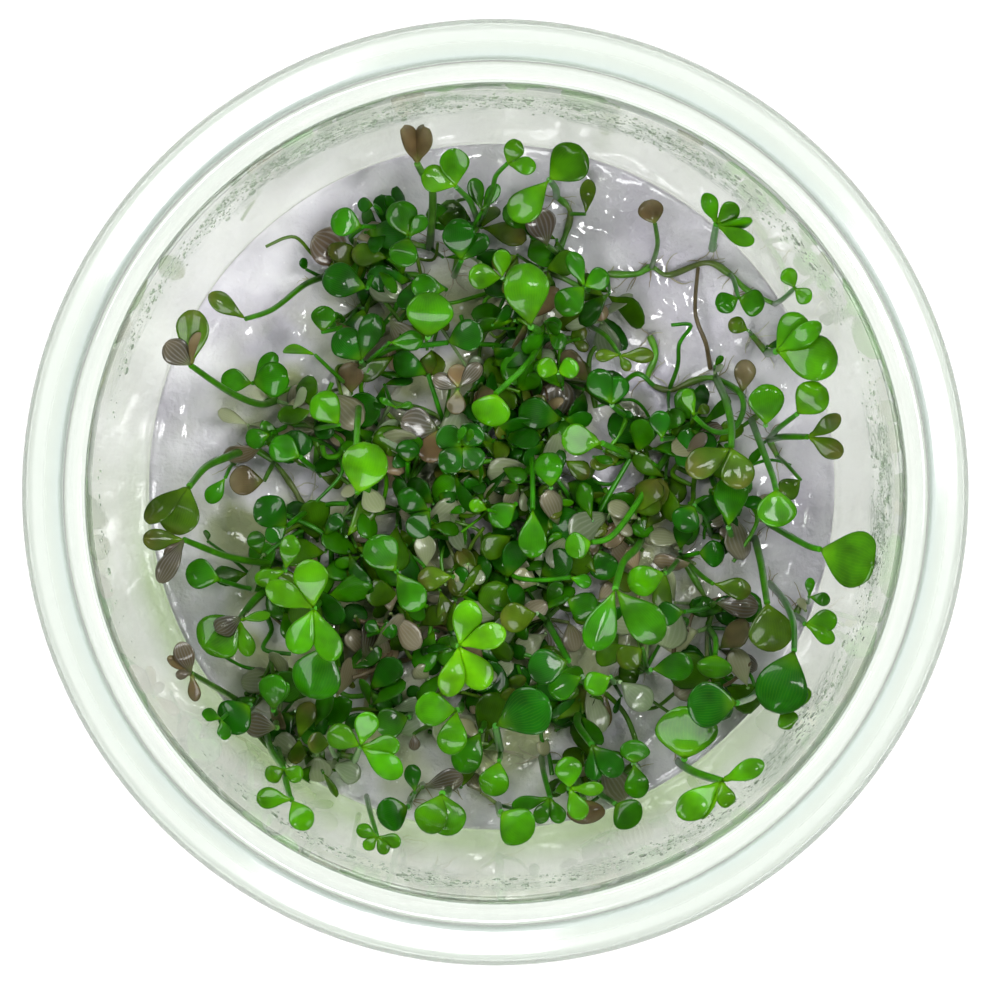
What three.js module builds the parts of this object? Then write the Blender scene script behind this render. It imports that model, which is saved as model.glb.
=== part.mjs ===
// Dwarf water clover grown in a clear tissue culture cup. Millimetres, +Z up.
// The origin is at the bottom centre of the cup.
import * as THREE from 'three';

const up = new THREE.Vector3(0, 0, 1);

// Cup
const cupHeight = 65;
const rimRadius = 50.5;
const mouthRadius = 43.2;
const floorRadius = 39.4;
const wallThickness = 1;
const footRadius = 36.8;
const footWidth = 3;
const footHeight = 0.8;
const floorTop = 2;
const floorCorner = 2.4;
const beadWidth = 2.7;
const beadRound = 0.4;
const shelfHeight = 60;
const skirtFoot = 54.5;
const skirtThickness = 0.8;
const footFlare = [1.9, 0.6];
const cupSides = 40;

// Gel
const gelTop = 15;
const gelGap = 0.3;

// Plants
const restGap = 0.3;
const creeperWidth = 0.9;
const bendShare = 0.3;
const bendRise = 0.6;
const elbowReach = 1.05;
const elbowRise = 0.35;
const hubHeight = 0.5;
const bladeHalfThickness = 0.24;
const largeBlade = 3.4;
const largeBladeRuns = [0.3, 0.62, 0.9];
const smallBladeRuns = [0.4, 0.84];
const hubSpread = 0.7;
const hubSpreadShare = 0.9;
const widestSplit = [1.4, 0.6];
const widestRoom = 1.4;
const roomShare = 0.95;

// Places across are read in a level plane readingHeight above the base, looking down
// from the eye point; a point that is higher or lower slides along that line of sight.
const eye = new THREE.Vector3(-4.7, 7.35, 515);
const readingHeight = 28;

// Each plantlet: name, the places of its creeping stem, then its fronds. Each frond: tone,
// stalk diameter, the place on the creeping stem that it grows from, the stalk's way points
// up to the hub, and its leaflets as steps to the tip in x, y and height, width and roll.
const plantlets = [
  ["plantlet_01", [[-19.4, 24], [-15.9, 25.4], [-13.4, 24.6], [-10, 24.4], [-7.9, 24.2]], [
    ["olive", 0.7, 0, [[-21.5, 23.1, 19], [-25, 20.4, 24], [-28.1, 19.3, 27]], [[-4.2, 2.8, 1, 2.2, 0]]],
    ["brown", 0.6, 1, [[-16.4, 25.9, 18.5]], [[-4, 2.8, 0.6, 4.6, 0]]],
    ["deep", 0.7, 2, [[-14.3, 22.8, 24]], [[-5, 1.4, 1, 3.9, 0]]],
    ["olive", 0.5, 3, [[-12, 26.2, 20]], [[-4.1, 0.6, 0.5, 2.7, 0]]],
    ["mid", 0.6, 4, [[-5.3, 22.6, 22]], [[-4, 0.5, 0.5, 3, 0]]]]],
  ["plantlet_02", [[-12.3, 29.6], [-9.6, 28], [-7.2, 27.4]], [
    ["deep", 0.5, 0, [[-12.8, 31.6, 21], [-13.6, 32.2, 22]], [[-1.8, 0.1, 0.3, 1.7, 0]]],
    ["mid", 0.6, 0, [[-14.9, 29.8, 24]], [[-3.5, 0.8, 0.5, 3.3, 10]]],
    ["mid", 0.7, 1, [[-9.6, 28.6, 26]],
      [[-1.2, 4, 1, 3.6, 0], [1.9, 2.4, 1, 1.9, 20], [-0.9, -3.4, 0.5, 3.3, 0]]],
    ["brown", 0.9, 2, [[-7, 30.1, 22], [-6.9, 33.9, 29], [-8, 35.8, 36], [-8.6, 36.9, 41]],
      [[-1.5, 4.2, 3, 2.8, 45], [0.7, 4.2, 3, 2.8, -45]]]]],
  ["plantlet_03", [[-1.6, 30], [-3.7, 27.2], [-4.4, 24.2]], [
    ["bright", 0.7, 0, [[-2.6, 32.6, 28], [-4.2, 34.3, 37]], [[-0.4, 4.4, 1, 3.3, 0], [-3.9, 1.5, 0.6, 3, 0]]],
    ["mid", 0.5, 1, [[-1.3, 31.5, 25]], [[-1, 3.8, 1, 1.9, 0], [1.9, 3.1, 1, 1.6, 0]]],
    ["bright", 0.6, 0, [[-0.2, 33.4, 29], [0.3, 35.5, 36], [1.6, 36.9, 39]],
      [[1.2, 2.7, 1, 2.2, 0], [3.3, -0.4, 0.5, 2, 0]]],
    ["deep", 0.7, 2, [[-3.6, 25.9, 24]], [[-0.5, 4.8, 1, 3.6, 0], [2.9, 2.9, 0.5, 2.3, 0]]]]],
  ["plantlet_04", [[7.2, 33.2], [8.8, 31.2], [7.4, 26.6]], [
    ["bright", 0.85, 0, [[6.4, 35.1, 36]], [[3.9, 3.4, 1.5, 4.6, 0], [-4.3, -4.6, -1, 3.6, 0]]],
    ["brown", 0.7, 2, [[6.2, 27.6, 22]], [[-1.4, 4.3, 0.5, 3.5, 0]]],
    ["olive", 0.5, 1, [[10.5, 31.2, 17.5]], [[0.4, 4, 0.3, 1.8, 0]]]]],
  ["plantlet_05", [[1.9, 23.2], [5.6, 24.8], [10.8, 22.4]], [
    ["bright", 0.7, 0, [[1, 24, 27]], [[-3.8, 0.2, 0.8, 2.9, 0], [0, 3.2, 1, 2.1, 10]]],
    ["mid", 0.7, 2, [[10.4, 23, 27]], [[-1.6, 3.9, 1, 2.1, 0], [2.7, 1.4, 0.8, 2.6, 0], [-2.9, -3, 0.5, 3.4, 0]]]]],
  ["plantlet_06", [[5.2, 17.8], [8.2, 17.2]], [
    ["bright", 0.9, 0, [[4.3, 18.4, 32]], [[-1, 7.2, 1.5, 5, 0]]],
    ["mid", 0.5, 0, [[6.4, 17.3, 22]], [[0.8, 2.2, 0.5, 1.9, 0], [1.9, -1, 0.3, 2, 0]]],
    ["bright", 0.8, 0, [[4.8, 15.6, 20], [3.3, 13.6, 25], [0.3, 10.8, 29]], [[-1, -3.6, 0.3, 4.4, 0]]],
    ["olive", 0.5, 1, [[8.8, 17.2, 18.8]], [[1.8, 0.9, 0.3, 1.9, 0], [2, -1.5, 0.3, 1.3, 0]]]]],
  ["plantlet_07", [[-14.6, 14], [-16.4, 11.6]], [
    ["deep", 0.75, 0, [[-11.5, 16, 21], [-8, 16.3, 23], [-5.2, 16.6, 25]], [[4, 1.5, 0.8, 3.6, 0]]],
    ["deep", 0.7, 0, [[-15, 14.5, 27]], [[-2.7, 3.4, 1, 3.6, 0], [1.6, 5.4, 1.5, 2.7, 0]]],
    ["mid", 0.5, 0, [[-11.8, 16.6, 26]], [[3.8, 0.3, 0.5, 2.3, 0]]],
    ["bright", 0.5, 1, [[-20.2, 15.2, 25]], [[-3.7, 0.4, 0.5, 1.6, 50]]],
    ["brown", 0.6, 1, [[-16.1, 10.8, 19]], [[0, 3.6, 0.5, 2.9, 0]]]]],
  ["plantlet_08", [[-15.4, 20.4], [-13.2, 21.6], [-9.6, 20.6], [-6.2, 18.8]], [
    ["mid", 0.6, 0, [[-17, 18.5, 21], [-19.4, 17.8, 24]], [[0.3, 3, 0.5, 2.8, 0]]],
    ["deep", 0.5, 1, [[-10.8, 21.7, 18]], [[2, 0.2, 0.3, 1.3, 0]]],
    ["bright", 0.8, 3, [[-7.4, 17.2, 29]], [[0.3, 5.2, 1.5, 5.2, 0]]]]],
  ["plantlet_09", [[-24.7, 10], [-26.6, 12]], [
    ["olive", 0.8, 0, [[-26.5, 9.6, 21], [-29.2, 10.6, 29], [-31.5, 12, 36], [-34.3, 14, 42]],
      [[0.3, 6.3, 2, 3.6, 0], [-2.9, 2.6, 1, 3, 0], [0.9, 3.8, 1.5, 1.8, 30]]],
    ["pale", 0.5, 0, [[-21, 8.9, 18.5]], [[-2.4, 0.3, 0.3, 2.4, 0]]],
    ["mid", 0.6, 1, [[-27.3, 12, 22]], [[-3.6, 0.5, 0.5, 2.7, 0], [4, 0.8, 1, 4, 0], [2.6, 3.4, 1, 2, 0]]]]],
  ["plantlet_10", [[-20.2, 2.2], [-20.1, 6.8], [-23.2, 7.2]], [
    ["mid", 0.7, 0, [[-21.9, 3.6, 24]], [[-3.4, 1.6, 0.5, 3.3, 0]]],
    ["olive", 0.7, 1, [[-18.6, 6.3, 17.6], [-17.1, 5.2, 19], [-17.6, 3.8, 20], [-19, 3.7, 21], [-19.4, 4.8, 22]], []],
    ["bright", 0.6, 1, [[-17.5, 7.3, 28]], [[-2.6, 3.4, 1, 3.6, 0]]],
    ["mid", 0.6, 2, [[-25.3, 6.2, 20]], [[-2.8, -0.8, 0.3, 2.4, 0]]]]],
  ["plantlet_11", [[-29.6, 2.8], [-27.7, 4.6], [-24.9, 3], [-22.7, 0.1], [-21, -2.4], [-17.2, -3.3], [-10.8, -2.4]], [
    ["brown", 0.6, 2, [[-26, 0.9, 18.5]], [[-4, 0, 0.5, 3.4, 0]]],
    ["deep", 0.7, 4, [[-23.4, -4.2, 23]], [[-3.4, 3, 1, 3.9, 0], [-2.4, -1.6, 0.5, 2.1, 0]]],
    ["deep", 0.6, 6, [[-7.2, -2.4, 23]], [[-3.6, 1.9, 0.5, 2.7, 0], [-2.2, -3, 0.5, 3, 0]]],
    ["olive", 0.95, 1, [[-30, 3.7, 22], [-32.6, 2.5, 28], [-34.5, 0.3, 34]],
      [[-1.9, -5.5, 1, 4.5, 0], [-5, -4, 2, 2.6, 20]]],
    ["mid", 0.5, 0, [[-30.4, 1.3, 22]], [[-2, -2.9, 0.5, 2, 0]]]]],
  ["plantlet_12", [[-11.6, 9.8], [-5.6, 7.4], [-9.7, 0.6]], [
    ["mid", 0.45, 0, [[-11, 9.2, 21]], [[-1.9, 1.1, 0.3, 0.8, 0], [1.8, 0.5, 0.3, 0.8, 0]]],
    ["brown", 0.6, 1, [[-6.2, 6.8, 20]], [[-4.3, 0.8, 0.5, 4, 0], [-1.4, -3.8, 0.5, 3, 0]]],
    ["brown", 0.6, 1, [[-4, 11.4, 25]],
      [[-0.1, 2.8, 0.5, 2.2, 0], [-0.3, -3, 0.5, 2.2, 0], [-2.8, 1.3, 0.5, 2, 0], [2.6, 2.8, 0.5, 2, 0]]],
    ["deep", 0.6, 1, [[-7.4, 13, 21]], [[-3.9, 2, 0.5, 3.2, -20]]],
    ["deep", 0.6, 2, [[-9.7, 3, 22]], [[0.1, 2.6, 0.3, 2.7, 0]]]]],
  ["frond_01", [[-3.2, 4.2]], [
    ["deep", 0.8, 0, [[-3.5, 4.8, 28]],
      [[-2.8, 1.8, 1, 3, 0], [1.9, 2.4, 1, 3, 0], [2, -2.4, 1, 3, 0], [-2.4, -2.7, 1, 3, 0]]]]],
  ["frond_02", [[-15.2, 10]], [
    ["lime", 0.75, 0, [[-15.4, 7.6, 31], [-15.4, 4.7, 38]], [[0.6, -5.2, 0.8, 5.4, 0]]]]],
  ["plantlet_13", [[7.6, 12.2], [7.2, 8]], [
    ["bright", 0.6, 0, [[7.4, 13.2, 27]], [[-2.3, 1, 0.5, 2.4, 0], [2.3, 0.9, 0.5, 2.4, 0]]],
    ["brown", 0.6, 1, [[7.2, 7.9, 18.5]], [[0.3, 4.4, 0.5, 4.1, 0]]]]],
  ["plantlet_14", [[10.4, 18.8], [11.6, 20.4]], [
    ["olive", 0.6, 0, [[12.8, 17.4, 23], [14.4, 15.2, 28]],
      [[-2.8, -0.1, 0.3, 1.5, 0], [3.9, -0.1, 0.8, 1.8, 0], [1.1, -1.8, 0.2, 1.2, 0]]],
    ["brown", 0.5, 1, [[10.5, 19.4, 20]], [[2.6, 1, 0.3, 2, 0]]]]],
  ["plantlet_15", [[16.4, 7.8], [15.6, 3.6]], [
    ["deep", 0.7, 0, [[14.6, 8.6, 22], [13.5, 9.5, 26]], [[-2.1, 4, 1, 3, 0], [1.1, 3.2, 1, 2.6, 0]]],
    ["bright", 0.8, 1, [[12.4, 5.2, 30]], [[-4.6, 0.6, 1, 3.5, 0]]],
    ["olive", 0.5, 1, [[14, 2.8, 18.2]], [[-0.6, 2.2, 0.3, 2, 0], [-3, 0.1, 0.3, 1.6, 0]]]]],
  ["plantlet_16", [[19.9, 4], [20.6, 5.8]], [
    ["bright", 0.8, 0, [[18.5, 1.8, 19], [16.3, -1.8, 22], [13.5, -5.4, 25.5], [11.2, -6.1, 27]],
      [[-3, -0.7, 0.5, 3, 0]]],
    ["deep", 0.6, 1, [[19.2, 5.6, 26]], [[-0.3, 3.3, 0.5, 2.4, 0]]],
    ["deep", 0.5, 0, [[20.5, 4.6, 20]], [[2.8, 1.7, 0.5, 2.4, 0], [2.1, -1.8, 0.3, 2.2, 0]]]]],
  ["runner_01", [[17.8, 17.4], [18.5, 15.2], [17.6, 12.4], [20, 11.2], [23, 12.3], [25.4, 12.5], [28.6, 10.4]], [
    ["bright", 0.7, 5, [[27.8, 11.2, 19.4], [28.5, 9.3, 21], [27.7, 7.2, 22], [26.1, 6.4, 23], [24.5, 6.8, 24],
      [22.9, 8.2, 25]], [[-1, 3.2, 0.8, 1.6, 0]]],
    ["olive", 0.9, 5, [[26.5, 10, 25], [27.1, 7.2, 28], [27.1, 4.7, 30]],
      [[1.3, -4.7, 0.5, 3.8, 0], [-5.1, -2.8, 0.5, 3.4, 0]]],
    ["brown", 0.5, 6, [[28.3, 10.8, 19]], [[0.5, 3.9, 0.5, 2.5, 0]]],
    ["deep", 0.5, 3, [[21, 14, 18], [21.2, 16.5, 20], [22.5, 18.6, 22], [20.3, 18.6, 23]], []]]],
  ["plantlet_17", [[29.4, 7.8], [30.6, 8.6]], [
    ["bright", 0.7, 1, [[31, 7.2, 34]], [[0.2, 4.7, 1, 3.9, 0]]],
    ["bright", 0.8, 0, [[30.5, 4.9, 26], [31.8, 1.5, 34], [32.2, -0.1, 37]], [[0.1, -4.3, 0.5, 4.4, 0]]]]],
  ["plantlet_18", [[31.4, 5.6], [32.4, 3.6]], [
    ["bright", 0.7, 0, [[32.4, 6.8, 30], [34.6, 8.5, 41]], [[2.9, 3.2, 1.5, 3.9, 0]]],
    ["olive", 0.8, 0, [[33, 5.9, 29], [35.8, 5.9, 37]], [[3.7, 2.5, 1.5, 2, 20], [4, -2, 1.5, 2.4, -20]]],
    ["olive", 0.5, 1, [[35, 1, 24]], [[-2.4, -1.8, 0.3, 2.6, 0]]]]],
  ["plantlet_19", [[31.2, 15.4], [29.3, 17.6]], [
    ["bright", 0.9, 0, [[32.2, 15.6, 42]], [[7, -1.4, 1.5, 5, 0], [3.1, 4.1, 1, 3.6, 0], [5.1, 3.2, 2.4, 2.4, 0]]],
    ["olive", 0.5, 1, [[29, 18, 20]], [[-2.2, 1, 0.3, 2, 0]]]]],
  ["runner_02", [[13, 24.4], [16.3, 24.4], [18, 25.2], [20, 24.3], [24.3, 25.7], [27, 24.3], [29, 22.5], [32, 21]], [
    ["brown", 0.6, 2, [[18.3, 26.1, 21], [18.7, 27.9, 26], [18.4, 30.1, 30]], [[-0.7, 2.7, 0.5, 2.9, 0]]],
    ["mid", 0.6, 5, [[27.9, 21.7, 23]], [[-2.5, -1, 0.5, 2.5, 0], [2.9, -1, 0.5, 3, 0]]],
    ["bright", 0.6, 7, [[33, 21.6, 32], [34.3, 22.8, 42]], [[-1, 2.2, 0.5, 1.9, 0], [1.8, -1.5, 0.5, 1.9, 0]]]]],
  ["frond_03", [[25.1, 27.6]], [
    ["bright", 0.9, 0, [[24.9, 27.4, 28], [25.4, 30.1, 42]],
      [[-1.4, 3.5, 1, 1.9, 0], [2.4, 2.2, 1, 2.2, 0], [4.1, 0.3, 1.5, 2, 60], [4.3, -2.1, 1.5, 2.2, 40]]]]],
  ["plantlet_20", [[-23.6, -8.6], [-25.7, -11.6]], [
    ["olive", 0.8, 0, [[-27.9, -8.2, 23], [-30.8, -7.5, 28], [-32.9, -6.7, 32], [-35.1, -5.8, 36]],
      [[-4.7, 0.1, 1, 2.4, 0], [-2.1, -2.5, 0.5, 1.8, 0], [-2.9, -4.9, 1, 2.3, 0]]],
    ["mid", 0.5, 0, [[-26.4, -7.6, 19]], [[-0.8, 2.8, 0.3, 2.1, 0]]],
    ["bright", 0.6, 0, [[-23.6, -9.3, 28]], [[0.7, 4.1, 0.5, 2.3, 0], [-3.5, -1.2, 0.5, 2, 0]]],
    ["mid", 0.6, 1, [[-28.4, -11.2, 22], [-31, -10.4, 27]], [[-3.9, 1.2, 0.5, 3.4, 0]]],
    ["bright", 0.8, 1, [[-27, -12.4, 22], [-28.9, -14.9, 32]],
      [[-4.2, -3.2, 1, 5.3, 0], [1.2, -4.2, 0.3, 2, 0], [3.6, 0.6, 0.3, 1.2, 0]]]]],
  ["frond_04", [[-19.7, -12.8]], [
    ["bright", 0.9, 0, [[-20.4, -13.6, 41]],
      [[-5.4, 2.7, 0.8, 2.9, 0], [-0.6, 5.6, 1, 3.8, 0], [-2.4, -5.1, 0.8, 3.2, 0], [2.4, -6, 0.8, 3, 0]]]]],
  ["plantlet_21", [[-17.4, -17.2], [-15.4, -17]], [
    ["mid", 0.9, 0, [[-18.9, -17.8, 31]], [[-2, -6, 1, 5.6, 0]]],
    ["deep", 0.6, 1, [[-12.9, -16.2, 22]], [[2, 0.2, 0.3, 2, 0], [-1.6, 0.9, 0.3, 1.6, 0]]]]],
  ["plantlet_22", [[-28.9, -24.2], [-27.4, -24.8]], [
    ["brown", 0.75, 0, [[-30.5, -23.2, 26], [-34.3, -21, 40]],
      [[-1.3, 3.6, 1, 2.3, 0], [-2.7, 1.9, 1, 1.2, 0], [-1.8, -0.2, 0.5, 1.1, 0], [0.5, -3.2, 0.5, 1.4, 0]]],
    ["deep", 0.7, 1, [[-27.6, -24.6, 32]], [[-3.3, -2.6, 0.5, 4.2, 0]]],
    ["mid", 0.5, 0, [[-30.9, -26.2, 37]], [[-2.2, 0.8, 0.5, 1.5, 0], [0.5, -2.4, 0.5, 1.6, 0]]]]],
  ["plantlet_23", [[-24.6, -26.4], [-23.4, -28.2], [-20.6, -30.2]], [
    ["mid", 0.7, 0, [[-24.9, -24.8, 24], [-25, -25.2, 34]], [[0, 4.1, 1, 3.2, 0], [1.6, 3.2, 0.4, 1.4, 0]]],
    ["brown", 0.8, 0, [[-24.6, -27.2, 26]], [[-3.7, 0.6, 0.3, 2.9, 0]]],
    ["pale", 0.6, 2, [[-20, -30.4, 19]], [[0.2, -3, 0.3, 3.2, 0]]]]],
  ["frond_05", [[-25.8, -27.6]], [
    ["bright", 0.75, 0, [[-25.2, -29.8, 28], [-23.8, -31.9, 39]], [[-2.1, -1, 0.4, 2, 0], [2.1, -1, 0.4, 2, 0]]]]],
  ["frond_06", [[-24.7, -29]], [
    ["bright", 0.75, 0, [[-24, -31.4, 30], [-23.6, -33.2, 40], [-23.2, -34.8, 51], [-22.9, -35.4, 54]],
      [[-4, 0.3, 1, 2.3, 0], [1.9, -3.4, 1, 2.7, 0]]]]],
  ["plantlet_24", [[-15.7, -30.6], [-17.6, -30.2]], [
    ["bright", 0.8, 0, [[-15.1, -29.3, 43]],
      [[-3.7, 1.7, 0.8, 2.9, 0], [1.1, 3.9, 0.8, 2.6, 0], [4.5, 0.1, 0.8, 2.3, -10], [4.7, -3.4, 0.5, 2.8, 0]]],
    ["olive", 0.6, 1, [[-18.6, -29.1, 36]], [[-2.5, 0.3, 0.3, 2.4, 0]]]]],
  ["plantlet_25", [[-5.4, -26.4], [-9.4, -25.6]], [
    ["brown", 0.55, 0, [[-8, -27.3, 21], [-9, -27.9, 23]], [[0.1, -1.9, 0.2, 1.3, 0]]],
    ["mid", 0.7, 1, [[-9.6, -26, 34]], [[-3.7, -1.2, 0.5, 3.4, 0]]]]],
  ["frond_07", [[-3.6, -24.6]], [
    ["bright", 0.8, 0, [[-4.1, -25.2, 40]], [[-4.8, 0.2, 0.8, 3.7, 0], [-0.9, -5.1, 0.8, 3.2, 0]]]]],
  ["plantlet_26", [[-1, -26.4], [0.8, -29.6]], [
    ["mid", 0.7, 0, [[-1.4, -27.6, 34]], [[-2.5, -4.7, 0.5, 3.4, 0]]],
    ["deep", 0.9, 1, [[0.3, -27, 38]], [[6.2, 2.8, 1, 5.4, 0]]],
    ["bright", 0.6, 1, [[0.7, -31, 35]], [[-1, -4, 0.5, 3.4, 0]]]]],
  ["plantlet_27", [[-9.4, -35.3], [-8, -33.6]], [
    ["deep", 0.7, 0, [[-9.7, -36.2, 43]], [[-3.4, -1.4, 0.5, 3.7, 0]]],
    ["deep", 0.5, 0, [[-8.9, -34.6, 29]], [[-0.4, 3.2, 0.5, 1.9, 0]]],
    ["brown", 0.6, 1, [[-8, -34, 24]], [[4.6, 1.2, 0.3, 2.6, 0]]]]],
  ["frond_08", [[-5, -33.8]], [
    ["bright", 0.9, 0, [[-5.8, -34.7, 47]], [[-1.9, -4.5, 0.5, 3.6, 12], [1.2, -4.8, 0.5, 3.8, -12]]]]],
  ["frond_09", [[-14.4, -35]], [
    ["bright", 0.6, 0, [[-14, -36.8, 36], [-13.2, -39.6, 50]],
      [[-2.3, 1, 0.5, 1.6, 0], [-1.5, -1.4, 0.5, 1.4, 0], [2.7, -0.8, 0.5, 1.6, 0], [1.1, -2, 0.5, 1.4, 0]]]]],
  ["frond_10", [[0.6, -36]], [
    ["bright", 0.8, 0, [[0.9, -36.8, 47]], [[3.4, -3, 0.8, 4.3, 0]]]]],
  ["frond_11", [[5.5, -30.6]], [
    ["mid", 0.7, 0, [[5.8, -32.5, 30], [6.5, -35.2, 41]],
      [[-4.4, -1, 0.5, 1.7, 0], [-1.5, -2.9, 0.5, 1.8, 0], [1.3, -2.9, 0.5, 1.8, 0]]]]],
  ["plantlet_28", [[9.6, -33], [11.6, -34], [16.4, -31.6]], [
    ["mid", 0.7, 2, [[16, -31.3, 37]], [[0.2, 2.7, 0.5, 3.3, 0], [0.6, -4, 0.5, 2.7, 0]]],
    ["bright", 0.8, 0, [[8.7, -34.1, 46]], [[-0.2, 3.6, 0.8, 2.9, 0], [3.9, 0, 0.8, 1.7, 10], [1.5, -3.6, 0.8, 2.3, 0]]],
    ["brown", 0.7, 0, [[10.4, -35.4, 35]], [[0.4, -2.8, 0.5, 4.2, 0]]],
    ["mid", 0.75, 1, [[12.2, -34.8, 26], [13.9, -35.9, 40]], [[2.7, -2.2, 0.5, 3.7, 0]]]]],
  ["plantlet_29", [[10, -25.2], [10.6, -22.6]], [
    ["deep", 0.9, 0, [[9.6, -26.7, 26], [11.2, -29.1, 38]], [[0.5, -4.2, 0.5, 2.1, 0], [3.4, -3.5, 0.5, 2.8, 0]]],
    ["mid", 0.7, 1, [[10.2, -21.4, 31]], [[-3.8, -1.8, 0.5, 3, 0]]]]],
  ["plantlet_30", [[13.6, -21.9], [17.4, -20.6]], [
    ["bright", 0.6, 0, [[13.4, -21.4, 33]], [[-2.9, -1.4, 0.3, 2.8, 0]]],
    ["brown", 0.5, 0, [[12.8, -22.8, 19]], [[-0.8, -4.8, 0.3, 2.5, 0]]],
    ["pale", 0.6, 0, [[14.5, -22, 22]], [[3.4, -3, 0.5, 3.2, 0]]],
    ["olive", 0.6, 1, [[17, -18.2, 24]], [[-2.7, -1.8, 0.5, 3, 0]]],
    ["mid", 0.7, 1, [[18, -20.6, 30]], [[4.8, 0.6, 0.8, 3.2, 0]]]]],
  ["frond_12", [[21, -29.6]], [
    ["bright", 0.9, 0, [[21.8, -30.8, 40]], [[0.4, 6, 1, 6.7, 0]]]]],
  ["frond_13", [[21.2, -31.1]], [
    ["lime", 1, 0, [[21.9, -31.7, 38], [23.4, -32.5, 49], [26, -33.3, 54]],
      [[4.9, 2.1, 1, 2.2, 0], [-4.9, -4.1, 1, 3.2, 0], [-2.2, -4.4, 1, 1.6, 60], [0.8, -3.1, 0.5, 2, 0]]]]],
  ["plantlet_31", [[30.2, -22.8], [31.8, -21.2]], [
    ["deep", 0.8, 0, [[29.4, -23.8, 33], [27.8, -24.4, 45]], [[-5.7, -0.4, 0.6, 5, 0]]],
    ["pale", 0.6, 0, [[29, -22.6, 20]], [[-1.6, 4.4, 0.3, 2.6, 0]]],
    ["bright", 0.6, 1, [[32, -23.6, 34], [32.9, -25.3, 45.5]], [[3.2, 2.4, 1, 1.9, 0], [1.3, -2, 0.5, 2.4, 0]]]]],
  ["frond_14", [[31.5, -10.8]], [
    ["deep", 0.8, 0, [[33.2, -12.8, 30], [34.2, -15.3, 40], [34.3, -18.4, 47]], [[-2.4, -7.1, 1, 5.7, 0]]]]],
  ["plantlet_32", [[34.4, -14.4], [35.2, -12.8]], [
    ["bright", 0.7, 0, [[35.5, -15.4, 42]], [[3.7, 0.6, 0.8, 2.4, 0], [3.4, -2, 0.5, 1.8, 0]]],
    ["mid", 0.5, 1, [[36, -12.3, 38]], [[0.1, 2.2, 0.3, 1.1, 0], [2.4, -0.5, 0.3, 1.5, 0]]]]],
  ["plantlet_33", [[24.8, -5.3], [27, -5.6], [29.8, -5.7]], [
    ["deep", 0.6, 0, [[24.1, -3.3, 20], [22.9, -1.9, 24]], [[-1.7, -2.9, 0.3, 3.3, 0]]],
    ["mid", 0.8, 1, [[26.8, -4.4, 24]], [[0.4, 6, 1, 3.9, 0]]],
    ["olive", 0.9, 2, [[30.5, -8.5, 26], [31.2, -13, 33]], [[0.8, -5.6, 0.5, 5, 0]]]]],
  ["frond_15", [[31.4, -4]], [
    ["bright", 0.8, 0, [[32.4, -4.6, 28], [35.6, -6.4, 42], [37.2, -6.9, 46]], [[6.2, -1.7, 5, 6.2, 0]]]]],
  ["plantlet_34", [[21.4, -7.7], [24.6, -13.4], [24.4, -15.8]], [
    ["olive", 0.6, 0, [[23.6, -9.8, 24], [25, -10.8, 28]], [[4.4, -0.9, 0.5, 2.4, 0]]],
    ["bright", 0.6, 0, [[20, -9.4, 29], [19.6, -9.6, 32]], [[-4.2, -1.4, 0.5, 3.5, 0]]],
    ["deep", 0.6, 0, [[23.4, -7.3, 20]], [[3, -0.1, 0.3, 3, 0]]],
    ["brown", 0.6, 1, [[25.2, -13, 21]], [[5, -0.5, 0.5, 2.9, 0]]],
    ["deep", 0.6, 1, [[21.8, -14, 26]], [[-3.3, -0.4, 0.3, 2.7, 0]]],
    ["bright", 0.7, 2, [[25.3, -17, 24], [25.3, -18.9, 28]], [[-0.2, -2.7, 0.3, 4, 0]]],
    ["pale", 0.6, 2, [[23.4, -16.2, 19]], [[-4.3, -1.2, 0.5, 3.6, 0]]]]],
  ["plantlet_35", [[16.9, -5.8], [12.4, -6.6]], [
    ["bright", 0.9, 0, [[16.3, -6.8, 24], [14.8, -8.4, 32], [13.9, -11.4, 39]],
      [[-2.6, -7, 1, 3.7, 0], [5.3, -5.9, 1, 4.2, 0]]],
    ["mid", 0.6, 0, [[17.2, -3.1, 18.5]], [[-0.3, -2.5, 0.3, 2.6, 0]]],
    ["deep", 0.6, 1, [[11.7, -6.8, 20]], [[1.6, -3.5, 0.3, 3.3, 0]]],
    ["brown", 0.5, 1, [[12.8, -2, 18.5]], [[0, -2.6, 0.2, 2.2, 0]]]]],
  ["plantlet_36", [[8, -8.4], [8.2, -12.2], [6, -14.8]], [
    ["pale", 0.6, 0, [[7.9, -7.4, 19.5]], [[-3, -2.2, 0.3, 3.3, 0]]],
    ["mid", 0.6, 1, [[8.4, -12.6, 23]], [[3.4, -1.4, 0.5, 3.4, 0]]],
    ["olive", 0.6, 2, [[5, -14.2, 25]], [[-4.2, -0.8, 0.5, 3.4, 0]]],
    ["brown", 0.6, 2, [[6, -15.6, 19]], [[-0.4, -3.2, 0.3, 2.6, 0]]],
    ["deep", 0.8, 2, [[8.6, -19.6, 35]], [[-4.6, -1.2, 0.5, 4, 0]]]]],
  ["plantlet_37", [[4.5, 8.3], [6.2, 1], [1.6, -3], [1.3, -6.6]], [
    ["mid", 0.7, 0, [[4.4, 4.4, 19], [4.5, 1.1, 22], [4.5, -2.3, 24]], [[0, -5.6, 0.5, 3.2, 0]]],
    ["mid", 0.6, 1, [[6.6, 0.1, 25]], [[-0.4, 4, 0.8, 3.3, 0]]],
    ["mid", 0.6, 3, [[2.1, -9.7, 20], [5, -10.4, 24], [8.8, -10.1, 27]], [[2.4, -0.7, 0.3, 1.6, 0]]],
    ["mid", 0.6, 2, [[2.6, -1.7, 22]], [[-2.9, -2.2, 0.3, 3, 0]]],
    ["bright", 0.45, 2, [[-0.6, -2.4, 24]], [[-2.1, 0.8, 0.3, 1.6, 0]]]]],
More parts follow.
